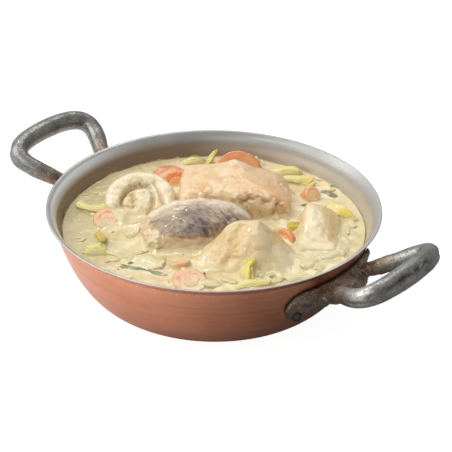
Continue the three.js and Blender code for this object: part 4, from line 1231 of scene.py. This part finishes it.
def foodHeights(points, pieces):
    # height of the highest piece over each point, and the distance to the nearest piece
    tops = np.full(len(points), sauceLevel - 6.0)
    nearest = np.full(len(points), 9.0)
    back = Matrix.Rotation(-servedTurn, 4, "Z") @ Matrix.Scale(1 / mm, 4)
    x, y = points[:, 0], points[:, 1]
    for piece in pieces:
        verts = [back @ vert.co for vert in piece.data.vertices]
        hull = BVHTree.FromPolygons(verts, [tuple(face.vertices) for face in piece.data.polygons])
        low = [min(vert[axis] for vert in verts) - 6 for axis in range(3)]
        high = [max(vert[axis] for vert in verts) + 6 for axis in range(3)]
        close = np.flatnonzero((x > low[0]) & (x < high[0]) & (y > low[1]) & (y < high[1]))
        for index in close:
            found = hull.find_nearest(points[index], 6)
            if found[3] is not None:
                nearest[index] = min(nearest[index], found[3])
            if high[2] < 90:
                hit = hull.ray_cast(Vector((x[index], y[index], 80)), Vector((0, 0, -1)))
                if hit[0] is not None:
                    tops[index] = max(tops[index], hit[0].z)
    return tops, nearest


def softened(values, rows, times):
    # evens out the values of a grid
    grid = values.reshape(rows, rows)
    for _ in range(times):
        padded = np.pad(grid, 1, mode="edge")
        grid = (padded[:-2, 1:-1] + padded[2:, 1:-1] + padded[1:-1, :-2] + padded[1:-1, 2:] + 4 * grid) / 8
    return grid.ravel()


def closeBody(bm):
    # the body below the surface follows the bowl down to its floor
    rim = [edge for edge in bm.edges if edge.is_boundary]
    for row in range(sauce["depth"]):
        made = bmesh.ops.extrude_edge_only(bm, edges=rim)["geom"]
        rim = [item for item in made if isinstance(item, bmesh.types.BMEdge)]
        up = lerp(sauceLevel - 0.5, bowl["wall"] + 0.4, (row + 1) / sauce["depth"])
        radius = innerRadius(up) - 0.4
        for vert in {v for edge in rim for v in edge.verts}:
            scale = radius / math.hypot(vert.co.x, vert.co.y)
            vert.co = (vert.co.x * scale, vert.co.y * scale, up)
    bmesh.ops.holes_fill(bm, edges=rim, sides=0)


def makeSauce():
    bm = bmesh.new()
    bmesh.ops.create_grid(bm, x_segments=sauce["rows"], y_segments=sauce["rows"], size=1)
    unit = getPoints(bm)
    # the square grid is drawn in to a disc
    x = unit[:, 0] * np.sqrt(1 - unit[:, 1] ** 2 / 2) * sauceRadius
    y = unit[:, 1] * np.sqrt(1 - unit[:, 0] ** 2 / 2) * sauceRadius
    points = np.c_[x, y, np.full(len(x), sauceLevel)]
    out = np.hypot(x, y)
    tops, nearest = foodHeights(points, lowPieces)
    fishTops, _ = foodHeights(points, fishPieces)
    side = sauce["rows"] + 1
    bed = softened(np.minimum(tops, sauceLevel + sauce["over"]), side, 8)
    bank = softened(np.clip(fishTops - sauceLevel, 0, sauce["bank"]), side, sauce["bankWide"])
    ripples = sum(height * cloud(points, size, octaves, seed)
                  for seed, (size, octaves, height) in enumerate(sauce["waves"], 7))
    (hemUp, hemWide), (wallUp, wallWide) = sauce["hem"], sauce["wallHem"]
    hem = np.exp(-nearest / hemWide)
    wallHem = np.exp(-(sauceRadius - out) / wallWide)
    inward = ease(0, 8, sauceRadius - out)
    points[:, 2] += ripples * inward + hemUp * hem + wallUp * wallHem
    points[:, 2] += sauce["bankShare"] * bank * inward * (1 + 0.4 * cloud(points, 9, 2, 10))
    # low pieces show through as soft humps, some of them covered
    drape = bed + sauce["cover"] * (cloud(points, 7, 2, 9) - 0.35)
    soft = sauce["soft"]
    points[:, 2] += inward * soft * np.logaddexp(0, (drape - points[:, 2]) / soft)
    points[:, 2] = softened(points[:, 2], side, 3)
    setPoints(bm, points)
    closeBody(bm)
    # it is greener at the left, and a little at the right and the back
    green = ease(-42, -84, x) + 0.35 * ease(60, 88, x) + 0.2 * ease(50, 85, y)
    below = np.zeros(len(bm.verts) - len(points))
    masks = {"green": np.r_[np.clip(green, 0, 1), below], "hem": np.r_[np.clip(hem, 0, 1), below]}
    finishPiece("creamSauce", bm, [cream], ["sauce"], masks)


makeSauce()
print("sauce ready")


# kind: its two tones, slot, how many, smallest and largest size, flatness, how far it stands out
bits = {
    "herbSpecks": (((104, 110, 58), (140, 144, 84)), "green_leek", 22, (0.3, 0.6), 0.45, 0.4),
    "pepperSpecks": (((112, 92, 64), (160, 132, 92)), "fish_skin", 14, (0.22, 0.4), 0.7, 0.4),
    "fishCrumbs": (((240, 226, 192), (228, 208, 166)), "white_fish", 110, (0.5, 1.7), 0.5, 0.3),
}


def makeBits(name, tones, slot, count, sizes, flatness, stand, seed):
    rng = random.Random(seed)
    sauceTree = BVHTree.FromObject(bpy.data.objects["creamSauce"], bpy.context.evaluated_depsgraph_get())
    bm = bmesh.new()
    ball = bmesh.new()
    bmesh.ops.create_icosphere(ball, subdivisions=2, radius=1)
    unit = getPoints(ball)
    for index in range(count):
        angle, out = rng.uniform(0, 2 * math.pi), (sauceRadius - 3) * math.sqrt(rng.random())
        size = rng.uniform(*sizes)
        spot = Vector((out * math.cos(angle), out * math.sin(angle), 90)) * mm
        spot.rotate(Euler((0, 0, servedTurn)))
        hit = sauceTree.ray_cast(spot, Vector((0, 0, -1)))
        lumps = 1 + 0.35 * cloud(unit, 1.1, 2, index)
        spin = Euler((rng.uniform(-0.4, 0.4), rng.uniform(-0.4, 0.4), rng.uniform(0, 6))).to_matrix()
        points = unit * lumps[:, None] * (size * rng.uniform(0.9, 1.6), size, size * flatness) @ np.array(spin).T
        middle = (out * math.cos(angle), out * math.sin(angle), hit[0].z / mm + size * flatness * (stand - 0.5))
        addCopy(bm, ball, points + np.array(middle))
    ball.free()
    finishPiece(name, bm, [plainFinish(name, *tones)])


for seed, (name, spec) in enumerate(bits.items(), 5):
    makeBits(name, *spec, seed)

# a loose flake of flesh leans on the left end of the skin fillet
flake = {"size": (5.0, 2.6, 1.3), "at": (-47, -13, 40.7), "turn": (20, -28, 48), "taper": 0.6, "lumps": 0.6}


def makeFlake():
    bm, unit = roundedBlock(20, 3)
    local = unit * flake["size"]
    local[:, 1] *= 1 - flake["taper"] * unit[:, 0]
    lumpy = local + getNormals(bm) * flake["lumps"] * cloud(local, 2.2, 3, 140)[:, None]
    points = turnedPoints(lumpy, flake["at"], flake["turn"])
    setPoints(bm, points)
    blank = np.zeros(len(points))
    finishPiece("looseFlake", bm, [whiteFlesh], (),
                {"local": points, "brown": blank, "gold": blank, "pale": blank + 0.9, "dark": blank})


makeFlake()
print("bits ready")


studio = {
    "eye": (0.573464, -0.726150, 0.559457),
    "look": (-0.53484571, 0.68826809, -0.49012968),
    "up": (-0.31417492, 0.376487, 0.87152261),
    "lens": 140.85,
    # place as the diner sees it, size, power, warmth
    "lamps": (
        ((-1.0, 0.05, 1.0), 1.3, 8.6, (1.0, 0.985, 0.96)),
        ((-0.5, 0.75, 1.3), 0.24, 2.4, (1.0, 0.99, 0.97)),
        ((-0.6, -0.7, 1.3), 0.14, 1.1, (1.0, 0.99, 0.97)),
        ((0.15, 0.8, 1.25), 0.8, 3.6, (1.0, 0.99, 0.97)),
        ((-0.35, -1.1, 1.0), 1.0, 2.2, (1.0, 0.98, 0.95)),
    ),
    "skyLeft": 0.7, "skyRight": 0.42,
    # the floor is painted lighter at the left than at the right, a painted pool of light and painted shadow for what it
    # reflects and throws back
    "floorLeft": 0.88, "floorRight": 0.36,
}


def makeFloor():
    bm = bmesh.new()
    bmesh.ops.create_grid(bm, x_segments=2, y_segments=2, size=4)
    floor = addObject("floor", meshFrom(bm, "floor"))
    material, tree, shader = startMaterial("paleFloor")
    toRight = alongLine(tree, placeIn(tree), (math.cos(servedTurn), math.sin(servedTurn), 0))
    left, right = studio["floorLeft"], studio["floorRight"]
    # painted pool of light at the left and painted shadow at the right, seen only in reflections and bounced light
    thrown = blend(tree, remap(tree, toRight, -0.1, 0.06), (left, left, left, 1), (right, right, right, 1))
    # seen from the camera it is nearly white, with only a trace of shadow
    seen = put(tree, "ShaderNodeLightPath").outputs["Is Camera Ray"]
    fill(tree, shader, {
        "Base Color": blend(tree, seen, thrown, (0.16, 0.16, 0.16, 1)),
        "Emission Color": blend(tree, seen, (0, 0, 0, 1), (0.95, 0.95, 0.95, 1)),
        "Emission Strength": 1, "Roughness": 0.7, "Specular IOR Level": 0.1,
    })
    floor.data.materials.append(material)


def makeWorld():
    world = bpy.data.worlds.new("studio")
    bpy.context.scene.world = world
    world.use_nodes = True
    tree = world.node_tree
    toward = put(tree, "ShaderNodeTexCoord").outputs["Generated"]
    leftward = Vector((-1, 0.25, 0.15)).normalized()
    leftward.rotate(Euler((0, 0, servedTurn)))
    share = remap(tree, alongLine(tree, toward, tuple(leftward)), -0.75, 0.85)
    dim, bright = studio["skyRight"], studio["skyLeft"]
    sky = blend(tree, share, (dim, dim * 0.98, dim * 0.96, 1), (bright, bright, bright * 0.985, 1))
    seen = put(tree, "ShaderNodeLightPath").outputs["Is Camera Ray"]
    fill(tree, tree.nodes["Background"], {"Color": blend(tree, seen, sky, (1, 1, 1, 1))})


def makeLamps():
    for index, (place, size, power, tint) in enumerate(studio["lamps"]):
        lamp = bpy.data.lights.new(f"lamp{index}", "AREA")
        lamp.shape = "DISK"
        lamp.size, lamp.energy, lamp.color = size, power, tint
        lampObject = addObject(f"lamp{index}", lamp)
        spot = Vector(place)
        spot.rotate(Euler((0, 0, servedTurn)))
        aim = (Vector((0, 0, 0.03)) - spot).to_track_quat("-Z", "Y")
        lampObject.matrix_world = Matrix.Translation(spot) @ aim.to_matrix().to_4x4()


def makeCamera():
    camera = bpy.data.cameras.new("camera")
    camera.lens, camera.sensor_width, camera.sensor_fit = studio["lens"], 36, "AUTO"
    cameraObject = addObject("camera", camera)
    backward = -Vector(studio["look"]).normalized()
    rightward = Vector(studio["up"]).cross(backward).normalized()
    upward = backward.cross(rightward)
    turn = Matrix((rightward, upward, backward)).transposed().to_4x4()
    cameraObject.matrix_world = Matrix.Translation(studio["eye"]) @ turn
    bpy.context.scene.camera = cameraObject


makeFloor()
makeWorld()
makeLamps()
makeCamera()
bpy.context.scene.view_settings.view_transform = "Standard"
print("studio ready")
